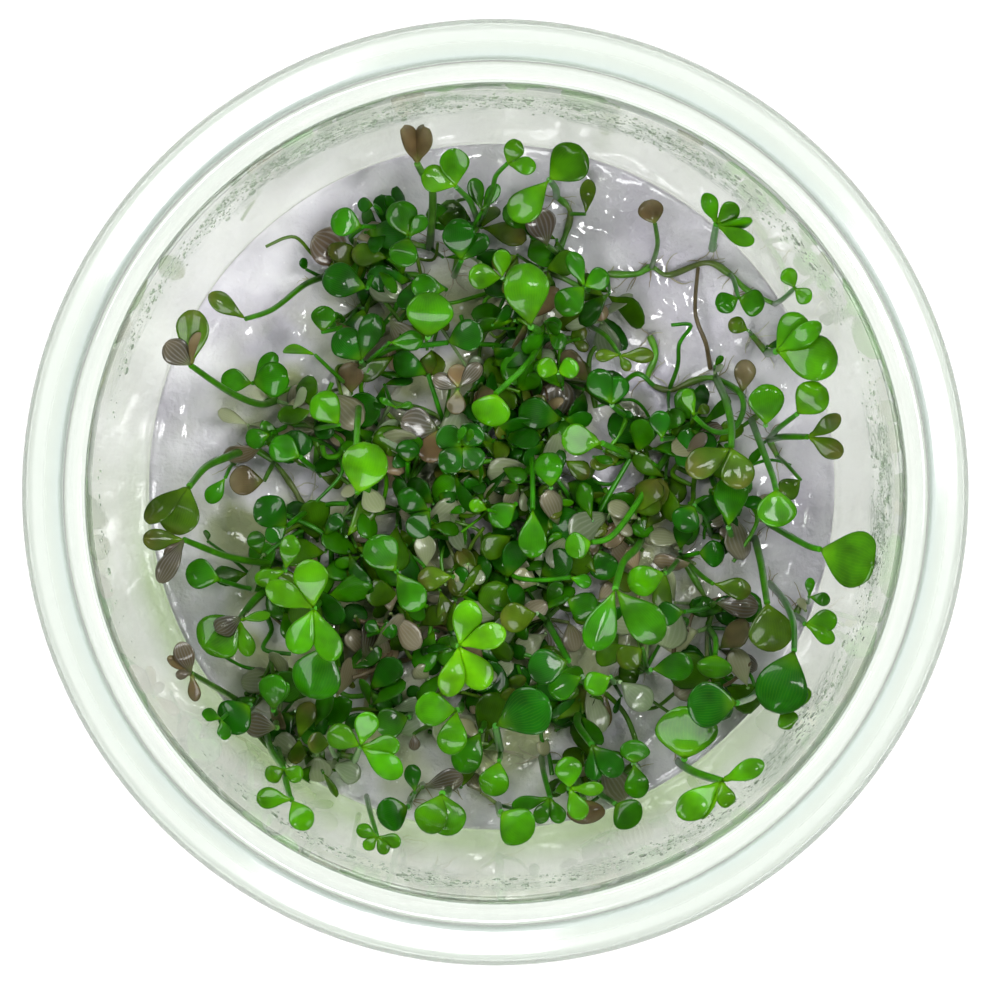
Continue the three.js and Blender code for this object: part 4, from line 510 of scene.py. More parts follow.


# Agar gel, poured and set: cloudy lilac grey, green-brown under the tuft, partly where roots and old
# leaves have stained it and partly painted shade and green light bounced from the leaves, wet on top,
# with fine pits, creases and white flecks.
def agarGel():
    material, tree = newMaterial("agarGel")
    place = placeOf(tree)
    cloud = noiseOf(tree, place, 75, 4)
    colour = rampOf(tree, cloud, (0.3, "#c2bccc"), (0.5, "#dad7e0"), (0.7, "#efeef2"))
    # Green-brown under the tuft: part stain, part painted shade and green bounce light from the leaves.
    middle = mapped(tree, radiusOf(tree, place, (0.004, 0.005, 0)), 0.026, 0.0365, 0.95, 0.05, "SMOOTHSTEP")
    stainAndShade = mathOf(tree, "MULTIPLY", middle, mapped(tree, noiseOf(tree, place, 110), 0.36, 0.54))
    flecks = addNode(tree, "ShaderNodeTexVoronoi", None, {"Vector": place, "Scale": 480.0})
    fleckSize = mapped(tree, cloud, 0.46, 0.6, 0.02, 0.14)
    fleck = mapped(tree, flecks.outputs["Distance"], 0.0, fleckSize, 0.8, 0.0)
    creases = noiseOf(tree, place, 170, 3, "RIDGED_MULTIFRACTAL")
    relief = mathOf(tree, "ADD", noiseOf(tree, place, 650, 4), creases)
    return finishMaterial(material, {
        "Base Color": mixOf(tree, fleck, mixOf(tree, stainAndShade, colour, "#98a070"), "#f6f5f8"),
        "Roughness": 0.25, "IOR": 1.34, "Coat Weight": 0.9, "Coat Roughness": 0.05,
    }, (relief, 0.9, 0.0006))


# Living leaf blade, wet: smooth and deep green with a soft sheen. The tone comes with the leaflet, and
# faint veins run along it.
def wetLeafBlade():
    material, tree = newMaterial("wetLeafBlade")
    blotch = noiseOf(tree, placeOf(tree), 330, 3)
    veins = veinsOf(tree, mathOf(tree, "MULTIPLY_ADD", blotch, 0.12, leafAcross(tree)), 105.0, 0.3)
    shaded = scaledOf(tree, attributeOf(tree, "tone", "Color"), mapped(tree, blotch, 0.3, 0.7, 0.55, 1.3))
    return finishMaterial(material, {
        "Base Color": mixOf(tree, mathOf(tree, "MULTIPLY", veins, 0.035), shaded, "#9fd000"),
        "Roughness": 0.3, "IOR": 1.4, "Specular IOR Level": 0.1, "Subsurface Weight": 0.1,
        "Subsurface Radius": (0.0006, 0.0012, 0.0002), "Subsurface Scale": 1.0,
        "Coat Weight": 0.25, "Coat Roughness": 0.05,
    }, (veins, 0.06, 0.0001))


# Water-soaked leaf blade: glassy and pale, so that what lies under it shows through.
def glassyLeafBlade():
    material, tree = newMaterial("glassyLeafBlade")
    veins = veinsOf(tree, leafAcross(tree), 44.0, 0.0)
    colour = mixOf(tree, mathOf(tree, "MULTIPLY", veins, 0.2), attributeOf(tree, "tone", "Color"), "#e6e8dc")
    return finishMaterial(material, {
        "Base Color": colour, "Roughness": 0.34, "IOR": 1.36, "Transmission Weight": 0.6,
        "Coat Weight": 0.5, "Coat Roughness": 0.08,
    }, (veins, 0.15, 0.00004))


# Living stalk: smooth, round and wet, a little mottled along its length.
def wetStalk():
    material, tree = newMaterial("wetStalk")
    mottle = noiseOf(tree, placeOf(tree), 600, 3)
    colour = scaledOf(tree, attributeOf(tree, "tone", "Color"), mapped(tree, mottle, 0.3, 0.7, 0.7, 1.3))
    return finishMaterial(material, {
        "Base Color": colour, "Roughness": 0.35, "IOR": 1.4, "Specular IOR Level": 0.4,
        "Coat Weight": 0.25, "Coat Roughness": 0.12,
    }, (mottle, 0.3, 0.0001))


# Fine root: brown and wet, with paler young stretches.
def fineRoot():
    material, tree = newMaterial("fineRoot")
    stretch = noiseOf(tree, placeOf(tree), 160)
    return finishMaterial(material, {
        "Base Color": rampOf(tree, stretch, (0.35, "#8d8268"), (0.6, "#b0ae94"), (0.75, "#d3d4c4")),
        "Roughness": 0.35, "IOR": 1.4, "Coat Weight": 0.5, "Coat Roughness": 0.1,
    }, (stretch, 0.4, 0.0001))


# Water, condensed: clear drops with a little haze, so that small ones read as grey-green specks.
def condensedWater():
    material, tree = newMaterial("condensedWater")
    tint = rampOf(tree, noiseOf(tree, placeOf(tree), 900), (0.3, "#b4c7b0"), (0.7, "#e3ebe0"))
    return finishMaterial(material, {
        "Base Color": tint, "Roughness": 0.04, "IOR": 1.33, "Transmission Weight": 0.75})


# Matt painted board, pale and lit through: a plain ground with the faintest tooth.
def paleBoard():
    material, tree = newMaterial("paleBoard")
    colour = rampOf(tree, noiseOf(tree, placeOf(tree), 300), (0.3, "#949494"), (0.7, "#9a9a9a"))
    return finishMaterial(material, {
        "Base Color": colour, "Roughness": 0.9, "Emission Color": "#ffffff", "Emission Strength": 0.82})


materials = {
    "cup": clearPolypropylene(), "gel": agarGel(), "blade": wetLeafBlade(), "glassy": glassyLeafBlade(),
    "stalk": wetStalk(), "root": fineRoot(), "water": condensedWater(), "board": paleBoard(),
}
print("materials made")


# Shapes

def meshPiece(name, points, edges, faces, material=None):
    mesh = bpy.data.meshes.new(name)
    mesh.from_pydata([Vector(point) * mm for point in points], edges, faces)
    if material is not None:
        mesh.materials.append(material)
    mesh.polygons.foreach_set("use_smooth", [True] * len(mesh.polygons))
    mesh.update()
    piece = bpy.data.objects.new(name, mesh)
    bpy.context.scene.collection.objects.link(piece)
    return piece


def giveAttribute(piece, name, kind, values):
    key = {"FLOAT_COLOR": "color", "FLOAT_VECTOR": "vector"}.get(kind, "value")
    piece.data.attributes.new(name, kind, "POINT").data.foreach_set(key, values)


# Each corner of an outline becomes a short curve of the given radius, at most part of its sides.
def roundedOutline(corners, steps, part=0.45):
    outline = []
    for i, (radius, height, bend) in enumerate(corners):
        if bend == 0:
            outline.append((radius, height))
            continue
        corner = Vector((radius, height, 0))
        before = Vector((*corners[i - 1][:2], 0)) - corner
        after = Vector((*corners[i + 1][:2], 0)) - corner
        start = corner + before * min(part, bend / before.length)
        end = corner + after * min(part, bend / after.length)
        for k in range(steps + 1):
            t = k / steps
            point = start * (1 - t) ** 2 + corner * 2 * t * (1 - t) + end * t ** 2
            outline.append((point.x, point.y))
    return outline


# Turns an outline that starts and ends on the axis round into a closed shell.
def turned(outline, segments):
    turns = [2 * math.pi * k / segments for k in range(segments)]
    points = [(0, 0, outline[0][1])]
    for radius, height in outline[1:-1]:
        points += [(radius * math.cos(turn), radius * math.sin(turn), height) for turn in turns]
    points.append((0, 0, outline[-1][1]))
    last = len(points) - 1
    faces = []
    for k in range(segments):
        j = (k + 1) % segments
        faces.append((0, 1 + j, 1 + k))
        for a in range(1, last - segments, segments):
            faces.append((a + k, a + j, a + segments + j, a + segments + k))
        faces.append((last, last - segments + k, last - segments + j))
    return points, faces


def curveThrough(places, steps):
    line = []
    for i in range(len(places) - 1):
        before = places[max(i - 1, 0)]
        start, end = places[i], places[i + 1]
        after = places[min(i + 2, len(places) - 1)]
        for k in range(steps):
            t = k / steps
            line.append(0.5 * ((2 * start) + (end - before) * t
                               + (2 * before - 5 * start + 4 * end - after) * t ** 2
                               + (3 * start - before - 3 * end + after) * t ** 3))
    line.append(places[-1])
    return line


def clamped(value):
    return min(1, max(0, value))


# Cup

cupSize = {
    "height": 65, "rimRadius": 50.5, "mouthRadius": 43.2, "floorRadius": 39.4, "wall": 1.0,
    "footRadius": 36.8, "footWidth": 3, "footHeight": 0.8, "floorTop": 2, "floorCorner": 2.4,
    "beadWidth": 2.7, "shelfHeight": 60, "skirtFoot": 54.5, "skirtWall": 0.8, "lip": 0.4, "lipBend": 0.35,
    "wallRings": (62, 14, -2), "segments": 192, "cornerSteps": 4, "touch": 0.05,
}
wallFoot = cupSize["floorTop"] + cupSize["floorCorner"]

# Condensation lies high on the wall in the clusters that the photograph shows.
# Each: its middle and half width round the cup in degrees, its low and high edge, and its density.
dropletClusters = [
    (112, 30, 43, 58, 1.0), (64, 20, 41, 58, 1.0), (34, 9, 46, 56, 0.5), (-2, 17, 41, 56, 1.0),
    (-36, 14, 41, 57, 0.9), (-66, 15, 46, 58, 0.7), (-98, 20, 47, 57, 0.6), (-124, 12, 46, 56, 0.4),
    (150, 18, 46, 57, 0.5), (-170, 12, 50, 57, 0.1),
]
fogSize = {"spread": 1.15, "core": 0.6, "below": 3, "rise": 5, "above": 2, "fall": 3}
greenReflectionSize = {"lean": 0.35, "start": 6, "fade": 18, "low": 13, "rise": 3, "high": 44}


def innerRadius(height):
    share = (height - wallFoot) / (cupSize["height"] - wallFoot)
    return cupSize["floorRadius"] + (cupSize["mouthRadius"] - cupSize["floorRadius"]) * share


# Each point from the middle of the underside round to the middle of the floor: its radius and height,
# and how far its corner is rounded.
def cupOutline():
    size = cupSize
    foot, rim, mouth = size["footRadius"], size["rimRadius"], size["mouthRadius"]
    bead, skirt = mouth + size["beadWidth"], rim - size["skirtWall"]
    top, shelf, raised, floor = size["height"], size["shelfHeight"], size["footHeight"], size["floorTop"]
    lip, bend = size["lip"], size["lipBend"]
    return [
        (0, raised, 0),
        (foot - size["footWidth"] - raised, raised, 0.4),  # foot ring
        (foot - size["footWidth"], 0, 0.3),
        (foot, 0, 0.3),
        (foot + 1.9, 0.6, 1.6),
        (innerRadius(wallFoot) + size["wall"], wallFoot, 1.6),  # outside of the wall
        (innerRadius(shelf - 1) + size["wall"], shelf - 1, 0.5),
        (bead + 0.6, shelf - 0.7, 0.5),  # underside of the flange
        (skirt, shelf - 1.6, 0.6),
        (skirt, size["skirtFoot"], 0.2),
        (rim, size["skirtFoot"], 0.2),
        (rim, shelf - 1.2, 0.5),
        (rim - 1, shelf - 0.3, 0.5),  # slope
        (bead + 0.4, shelf + 0.4, 0.5),
        (bead, shelf + 1, 0.4),  # bead
        (bead - 0.3, top - lip, bend),
        (bead - 0.7, top, bend),  # flat ledge on top
        (mouth + lip, top, bend),
        (mouth, top - lip, bend),
        *[(innerRadius(height), height, 0) for height in range(*size["wallRings"])],
        (innerRadius(wallFoot), wallFoot, 1.8),  # floor
        (innerRadius(floor) - 0.8, floor + 0.7, 0.6),
        (innerRadius(floor) - size["floorCorner"], floor, 0.6),
        (0, floor, 0),
    ]


def insideAt(x, y, z):
    return float(z > gelSize["top"] and abs(math.hypot(x, y) - innerRadius(z)) < cupSize["touch"])


# How thick the fog lies at a place on the inside of the wall, from the clusters of drops.
def fogAt(x, y, z):
    size, turn, fog = fogSize, math.degrees(math.atan2(y, x)), 0.0
    for middle, spread, low, high, density in dropletClusters:
        away = abs((turn - middle + 180) % 360 - 180) / (spread * size["spread"])
        side = clamped(1 - (away - size["core"]) / (1 - size["core"]))
        rise = clamped((z - low + size["below"]) / size["rise"])
        fog = max(fog, side * density * rise * clamped((high + size["above"] - z) / size["fall"]))
    return fog * insideAt(x, y, z)


# How strongly the inside of the wall is painted green at a place: a painted reflection of the leaves that
# lie against its front.
def greenReflectionAt(x, y, z):
    size = greenReflectionSize
    front = clamped((-y - size["lean"] * x - size["start"]) / size["fade"])
    height = clamped((z - size["low"]) / size["rise"]) * clamped((size["high"] - z) / size["fade"])
    return insideAt(x, y, z) * front * height


def makeCup():
    points, faces = turned(roundedOutline(cupOutline(), cupSize["cornerSteps"]), cupSize["segments"])
    cup = meshPiece("culture_cup", points, [], faces, materials["cup"])
    for name, valueAt in (("inside", insideAt), ("fog", fogAt), ("paintedGreenReflection", greenReflectionAt)):
        giveAttribute(cup, name, "FLOAT", [valueAt(*point) for point in points])
    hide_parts("cup")
    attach(cup, "root")


# Gel

gelSize = {
    "top": 15.0, "rings": 90, "segments": 200, "lumps": 0.28, "lumpSize": 3.2, "meniscus": 0.5, "climb": 0.5,
    "gap": 0.08, "floorGap": 0.3, "creaseSpacing": 0.45, "creaseWidth": 0.12, "creaseDepth": 0.35,
}


# The gel's top is a little lumpy and creeps up the wall, and its side stands off the wall a hair.
def makeGel():
    size = gelSize
    bottom = cupSize["floorTop"] + size["floorGap"]
    outer = innerRadius(size["top"]) - size["gap"]
    outline = [(0, bottom), (innerRadius(bottom) - cupSize["floorCorner"] - size["floorGap"], bottom),
               (innerRadius(wallFoot) - size["gap"] * 2, wallFoot + size["floorGap"]),
               (outer - 0.02, size["top"] - 0.5)]
    for k in range(size["rings"] + 1):
        radius = outer * (1 - k / size["rings"])
        outline.append((radius, size["top"] + size["meniscus"] * math.exp((radius - outer) / size["climb"])))
    points, faces = turned(outline, size["segments"])
    shaped = []
    for x, y, z in points:
        if z >= size["top"] - 0.01:
            place = Vector((x, y, 0)) / size["lumpSize"]
            crease = abs(noise.noise(place * size["creaseSpacing"] + Vector((7, 3, 1))))
            z += size["lumps"] * noise.fractal(place, 0.9, 2.1, 4)
            z -= size["creaseDepth"] * max(0, 1 - crease / size["creaseWidth"])
        shaped.append((x, y, z))
    gel = meshPiece("nutrient_gel", shaped, [], faces, materials["gel"])
    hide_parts("gel")
    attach(gel, "root")


# Clover

cloverSize = {
    "eye": (-4.7, 7.35, 515), "readingHeight": 28, "restGap": 0.3, "creeperWidth": 0.9, "sprigWidth": 0.45,
    "wallGap": 0.35, "stalkWallGap": 0.8, "stalkStep": 0.45, "stalkSides": 8, "seed": 3,
}
bladeSize = {
    "thickness": 0.32, "spread": 1.04, "fold": (-0.12, 0.36), "narrow": 0.45, "narrowFold": 0.2,
    "arch": (-0.05, 0.13), "droop": (0, 0.2), "soakedShare": 0.4, "redness": (0.85, 1.2),
    "ageing": (0.45, 0.85), "edgeShade": 0.72,
    "high": {"rows": 13, "around": 20, "waver": (0.01, 0.05), "light": (0.85, 1.15)},
    # Low leaflets are painted darker, as shade under the fronds above; the high ones differ only at random.
    "low": {"rows": 7, "around": 12, "waver": (0.03, 0.12), "light": (0.55, 1.0)},
}
thicketSize = {
    "low": 16.6, "high": 21.0, "length": (2.9, 5.6), "widthShare": (0.42, 0.9), "roll": 50,
    "tilt": (-1.2, 2.6), "stems": 4, "stemLength": (4.5, 10.0), "stemWidth": (0.4, 0.75), "stemBend": 0.7,
    "stemTones": ("mid", "bright", "mid", "moss", "olive", "brown"),
    "tones": ("deep", "deep", "deep", "deep", "mid", "mid", "mid", "moss", "moss", "olive", "brown", "tan",
              "pale", "pale"),
    "gaps": ((-7.5, 8, 2.6), (-18, -1.6, 2), (-2, -3.8, 2), (14.6, -17.5, 2), (14, 1, 2), (11, 16, 1.5),
             (24, -11.5, 1.8), (17.8, -27.6, 4.5), (18.5, -31, 2.5), (14, -24, 1.5)),
}


# The plants' places are as the photograph shows them at the reading height. This moves a place along
# its line to the eye, so that it shows there at its own height.
def seen(place):
    eye = Vector(cloverSize["eye"])
    x, y, z = place
    reach = (eye.z - z) / (eye.z - cloverSize["readingHeight"])
    return Vector((eye.x + (x - eye.x) * reach, eye.y + (y - eye.y) * reach, z))


def mixTones(first, second, share):
    return [a + (b - a) * share for a, b in zip(first, second)]


# Lines and leaf shells of one plantlet, with the tone of each point.
class Growth:
    def __init__(self, seed):
        self.chance = random.Random(seed)
        self.points, self.edges, self.faces = [], [], []
        self.tones, self.thickness, self.isStalk, self.isGlassy, self.maps = [], [], [], [], []

    # A point that would pass the cup's wall lies against it instead.
    def addPoint(self, place, tone, thickness=0.0, stalk=False, glassy=False, leafMap=(0.5, 0.0)):
        limit = innerRadius(place.z) - cloverSize["stalkWallGap" if stalk else "wallGap"]
        inward = min(1, limit / max(place.xy.length, 1))
        self.points.append(Vector((place.x * inward, place.y * inward, place.z)))
        self.tones.append(tone)
        self.thickness.append(thickness * mm)
        self.isStalk.append(stalk)
        self.isGlassy.append(glassy)
        self.maps.append(leafMap)
        return len(self.points) - 1

    def addLine(self, places, toneAt, thicknessAt):
        last = len(places) - 1
        run = [self.addPoint(place, toneAt(i / last), thicknessAt(i / last), stalk=True)
               for i, place in enumerate(places)]
        self.edges += list(zip(run, run[1:]))

    # A thin stalk of one tone, a little thinner towards its end.
    def addStem(self, places, tone, diameter):
        self.addLine(curveThrough(places, 3), lambda t: tone, lambda t: diameter / 2 * (1.1 - 0.3 * t))


# A leaflet is a closed shell of rings round its midrib, thick and rounded at the edge. Its tone is
# paler at the base and darker along the edge, a painted shade where the blade curves away from the
# light, and an ageing one turns brown towards its tip.
def addBlade(growth, base, tip, width, roll, toneName, neck, kind):
    chance, size, detail = growth.chance, bladeSize, bladeSize[kind]
    length = (tip - base).length
    along = (tip - base).normalized()
    across = up.cross(along).normalized()
    across.rotate(Quaternion(along, math.radians(roll)))
    above = along.cross(across)
    fullness = min(max(2.3 - width / length, 1.12), 1.75)  # a broad leaflet is widest near its tip
    fold = chance.uniform(*size["fold"]) + (size["narrowFold"] if width < size["narrow"] * length else 0)
    arch = chance.uniform(*size["arch"]) * length
    droop = chance.uniform(*size["droop"]) * width
    phase = chance.uniform(0, 6.28)
    waver = chance.uniform(*detail["waver"])
    glassy = toneName in ("pale", "tan") or toneName == "brown" and chance.random() < size["soakedShare"]
    # How light the leaflet is painted; for low ones this holds painted shade.
    light = chance.uniform(*detail["light"])
    main = [c * light for c in toneOf(toneName)[:3]] + [1.0]
    main[0] *= chance.uniform(*size["redness"])
    end = mixTones(main, linear(tipTones[toneName]), 0.6) if toneName in tipTones else main
    # Painted shade along the edge.
    edge = [c * size["edgeShade"] for c in main[:3]] + [1.0]
    young = mixTones(main, toneOf("leafBase"), 0.3)
    turnTip = chance.uniform(*size["ageing"])

    def toneAt(run, side):
        tone = mixTones(young, main, min(1, run * 3))
        tone = mixTones(tone, end, clamped((run - turnTip) * 3))
        return mixTones(tone, edge, abs(side) ** 6)

    rows, around = detail["rows"], detail["around"]
    start = growth.addPoint(base, young, glassy=glassy)
    rings = []
    for row in range(1, rows):
        run = 1 - (1 - row / rows) ** 1.45  # the rows lie closer towards the tip
        half = width / 2 * math.sin(math.pi * run ** fullness) ** (0.52 + 0.2 * (1 - run))
        half = max(half, neck * (1 - run) ** 3)
        thick = size["thickness"] / 2 * (1 - run ** 7) ** 0.5
        thick = thick * min(1, 0.55 + run) + neck * 0.6 * (1 - run) ** 4
        ring = []
        for k in range(around):
            angle = 2 * math.pi * k / around
            s, rise = math.cos(angle), math.sin(angle)
            reach = half * (1 + waver * math.sin(7 * run + phase + 1.3 * s))
            body = math.copysign(abs(rise) ** 0.75, rise) * min(thick, reach)
            bow = arch * math.sin(math.pi * run) + fold * half * s * s * run - droop * run * run * abs(s)
            place = base + along * (run * length) + across * (reach * s) + above * (body + bow)
            ring.append(growth.addPoint(place, toneAt(run, s), glassy=glassy, leafMap=((s + 1) / 2, run)))
        rings.append(ring)
    last = growth.addPoint(tip - above * droop * 0.3, toneAt(1, 0), glassy=glassy, leafMap=(0.5, 1.0))
    for k in range(around):
        j = (k + 1) % around
        growth.faces.append((start, rings[0][j], rings[0][k]))
        for ring, following in zip(rings, rings[1:]):
            growth.faces.append((ring[k], ring[j], following[j], following[k]))
        growth.faces.append((rings[-1][k], rings[-1][j], last))


def addFrond(growth, feet, toneName, diameter, start, way, leaflets):
    foot, hub = feet[start], seen(way[-1])
    points = [foot, *[seen(place) for place in way]]
    if len(way) == 1:
        bend = foot.lerp(hub, 0.3)
        bend.z = foot.z + (hub.z - foot.z) * 0.6
        points.insert(1, bend)
    stalkTone = mixTones(toneOf("stalk"), toneOf(toneName), 0.35)
    footTone = mixTones(stalkTone, toneOf("stalkFoot"), 0.6)
    radius = diameter / 2
    growth.addLine(curveThrough(points, 3), lambda t: mixTones(footTone, stalkTone, min(1, t * 1.6)),
                   lambda t: radius * (1.1 - 0.25 * t))

    def addLeaflet(dx, dy, dz, width, roll=0, ownTone=toneName):
        x, y, z = way[-1]
        roll += growth.chance.uniform(-8, 8)
        tip = seen((x + dx, y + dy, z + dz))
        addBlade(growth, hub, tip, width * bladeSize["spread"], roll, ownTone, radius, "high")

    for leaflet in leaflets:
        addLeaflet(*leaflet)


def addCreeper(growth, feet):
    old, tone, radius = toneOf("oldCreeper"), toneOf("creeper"), cloverSize["creeperWidth"] / 2
    growth.addLine(curveThrough(feet, 4), lambda t: mixTones(old, tone, 0.5 + 0.5 * math.sin(9 * t)),
                   lambda t: radius * (0.8 + 0.14 * math.sin(31 * t) + 0.1 * math.sin(12 * t)))


# A sprig's thin stalk leaves the creeping stem along the gel and rises only near its leaflet.
def addSprig(growth, toneName, hub, tip, width, foot, roll):
    low = foot.lerp(hub, 0.6)
    low.z = foot.z + (hub.z - foot.z) * 0.3
    tone = mixTones(toneOf("sprigStalk"), toneOf(toneName), 0.35)
    growth.addStem([foot, low, hub], tone, cloverSize["sprigWidth"])
    addBlade(growth, hub, tip, width, roll, toneName, cloverSize["sprigWidth"] / 2, "low")


def newGeometryTree(name, inputs):
    tree = bpy.data.node_groups.new(name, "GeometryNodeTree")
    for label, kind in {"Geometry": "Geometry", **inputs}.items():
        tree.interface.new_socket(label, in_out="INPUT", socket_type="NodeSocket" + kind)
    tree.interface.new_socket("Geometry", in_out="OUTPUT", socket_type="NodeSocketGeometry")
    return tree, addNode(tree, "NodeGroupInput").outputs


def namedOf(tree, name, kind):
    return addNode(tree, "GeometryNodeInputNamedAttribute", {"data_type": kind}, {"Name": name}).outputs[0]


# Ends a tree: the pieces become real, and each material goes to what its selection takes in.
def finishTree(tree, geometry, *looks):
    geometry = addNode(tree, "GeometryNodeRealizeInstances", None, {"Geometry": geometry}).outputs[0]
    for material, selection in looks:
        geometry = addNode(tree, "GeometryNodeSetMaterial", None, {
            "Geometry": geometry, "Selection": selection, "Material": material}).outputs[0]
    addNode(tree, "NodeGroupOutput", None, {"Geometry": geometry})
    return tree


# A plantlet's lines become round stalks, and its leaf shells stay as they are.
def stalkTree():
    tree, given = newGeometryTree("roundStalks", {"Stalk Step": "Float", "Stalk Sides": "Int"})
    stalk = namedOf(tree, "isStalk", "BOOLEAN")
    parts = addNode(tree, "GeometryNodeSeparateGeometry", {"domain": "POINT"},
                    {"Geometry": given["Geometry"], "Selection": stalk})
    lines = addNode(tree, "GeometryNodeMeshToCurve", None, {"Mesh": parts.outputs[0]})
    smooth = addNode(tree, "GeometryNodeCurveSplineType", {"spline_type": "CATMULL_ROM"},
                     {"Curve": lines.outputs[0]})
    spaced = addNode(tree, "GeometryNodeResampleCurve", {"mode": "LENGTH"},
                     {"Curve": smooth.outputs[0], "Length": given["Stalk Step"]})
    section = addNode(tree, "GeometryNodeCurvePrimitiveCircle", None,
                      {"Resolution": given["Stalk Sides"], "Radius": 1.0})
    tubes = addNode(tree, "GeometryNodeCurveToMesh", None, {
        "Curve": spaced.outputs[0], "Profile Curve": section.outputs[0],
        "Scale": namedOf(tree, "thickness", "FLOAT"), "Fill Caps": True})
    shaded = addNode(tree, "GeometryNodeSetShadeSmooth", None, {"Geometry": tubes.outputs[0]})
    joined = addNode(tree, "GeometryNodeJoinGeometry")
    tree.links.new(shaded.outputs[0], joined.inputs[0])
    tree.links.new(parts.outputs[1], joined.inputs[0])
    glassy = namedOf(tree, "isGlassy", "BOOLEAN")
    return finishTree(tree, joined.outputs[0], (materials["blade"], True), (materials["glassy"], glassy),
                      (materials["stalk"], stalk))


def applyTree(piece, tree, values):
    modifier = piece.modifiers.new(tree.name, "NODES")
    modifier.node_group = tree
    sockets = {item.name: item.identifier for item in tree.interface.items_tree if item.in_out == "INPUT"}
    for name, value in values.items():
        modifier[sockets[name]] = value
    grown = bpy.data.meshes.new_from_object(piece.evaluated_get(bpy.context.evaluated_depsgraph_get()))
    piece.modifiers.remove(modifier)
    piece.data = grown
    grown.name = piece.name


def growthPiece(name, growth, tree):
    piece = meshPiece(name, growth.points, growth.edges, growth.faces)
    giveAttribute(piece, "tone", "FLOAT_COLOR", [c for tone in growth.tones for c in tone])
    giveAttribute(piece, "thickness", "FLOAT", growth.thickness)
    giveAttribute(piece, "isStalk", "BOOLEAN", growth.isStalk)
    giveAttribute(piece, "isGlassy", "BOOLEAN", growth.isGlassy)
    corners = [growth.maps[loop.vertex_index] for loop in piece.data.loops]
    leafMap = piece.data.uv_layers.new(name="leafMap")
    leafMap.data.foreach_set("uv", [value for corner in corners for value in corner])
    size = cloverSize
    applyTree(piece, tree, {"Stalk Step": size["stalkStep"] * mm, "Stalk Sides": size["stalkSides"]})
    return piece


def nearest(place, feetOf):
    return min(((foot - place).xy.length, name, foot) for name, feet in feetOf.items() for foot in feet)[1:]


# A chance spot in a thicket's oval.
def spotIn(thicket, chance):
    x, y, halfWidth, halfDepth, _ = thicket
    turn, reach = chance.uniform(0, 2 * math.pi), chance.uniform(0, 1) ** 0.5
    return x + halfWidth * reach * math.cos(turn), y + halfDepth * reach * math.sin(turn)


def sowThickets(chance):
    size = thicketSize
    for thicket in thickets:
        for _ in range(thicket[-1]):
            hubX, hubY = spotIn(thicket, chance)
            toneName = chance.choice(size["tones"])
            for _ in range(chance.choice((1, 2, 2))):
                aim, length = chance.uniform(0, 2 * math.pi), chance.uniform(*size["length"])
                dx, dy = length * math.cos(aim), length * math.sin(aim)
                width = length * chance.uniform(*size["widthShare"])
                height = chance.uniform(size["low"], size["high"])
                middle = (hubX + dx * 0.6, hubY + dy * 0.6)
                if all(math.dist((x, y), middle) > gap for x, y, gap in size["gaps"]):
                    yield toneName, hubX, hubY, height, dx, dy, width


# Loose stems that lean on the gel and cross the thickets.
def sowStems(chance):
    size = thicketSize
    for thicket in thickets:
        for _ in range(size["stems"]):
            x, y = spotIn(thicket, chance)
            aim, length = chance.uniform(0, 2 * math.pi), chance.uniform(*size["stemLength"])
            way = [(x, y, gelSize["top"] + cloverSize["restGap"])]
            for share, rise in ((0.4, 2.0), (0.75, 4.0), (1.0, 5.5)):
                aim += chance.uniform(-size["stemBend"], size["stemBend"])
                reach = length * share
                way.append((x + reach * math.cos(aim), y + reach * math.sin(aim),
                            gelSize["top"] + rise * chance.uniform(0.6, 1.1)))
            yield chance.choice(size["stemTones"]), chance.uniform(*size["stemWidth"]), way


def makeClover(tree):
    size = cloverSize
    creeperHeight = gelSize["top"] + size["restGap"] + size["creeperWidth"] / 2
    growths, feetOf = {}, {}
    for seed, (name, places, fronds) in enumerate(plantlets):
        growth = growths[name] = Growth(seed)
        feet = feetOf[name] = [seen((x, y, creeperHeight)) for x, y in places]
        if len(feet) > 1:
            addCreeper(growth, feet)
        for frond in fronds:
            addFrond(growth, feet, *frond)
    chance, tilt, roll = random.Random(size["seed"]), thicketSize["tilt"], thicketSize["roll"]
    for toneName, x, y, z, dx, dy, width in [*sprigs, *sowThickets(chance)]:
        hub = seen((x, y, z))
        name, foot = nearest(hub, feetOf)
        tip = seen((x + dx, y + dy, z + chance.uniform(*tilt)))
        addSprig(growths[name], toneName, hub, tip, width, foot, chance.uniform(-roll, roll))
    for toneName, diameter, way in [*looseStems, *sowStems(chance)]:
        places = [seen(place) for place in way]
        name, _ = nearest(places[0], feetOf)
        growths[name].addStem(places, toneOf(toneName), diameter)
    for name, growth in growths.items():
        piece = growthPiece("grown_" + name, growth, tree)
        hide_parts(name)
        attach(piece, "root")


# Roots

rootSize = {
    "perFoot": 4, "length": 3.2, "lengthShare": (0.4, 1.2), "step": 0.4, "radius": 0.08, "turn": 0.5,
    "start": 0.5, "lift": 0.42, "dive": 0.05, "wave": 0.08, "reach": 38.5, "seed": 11,
}


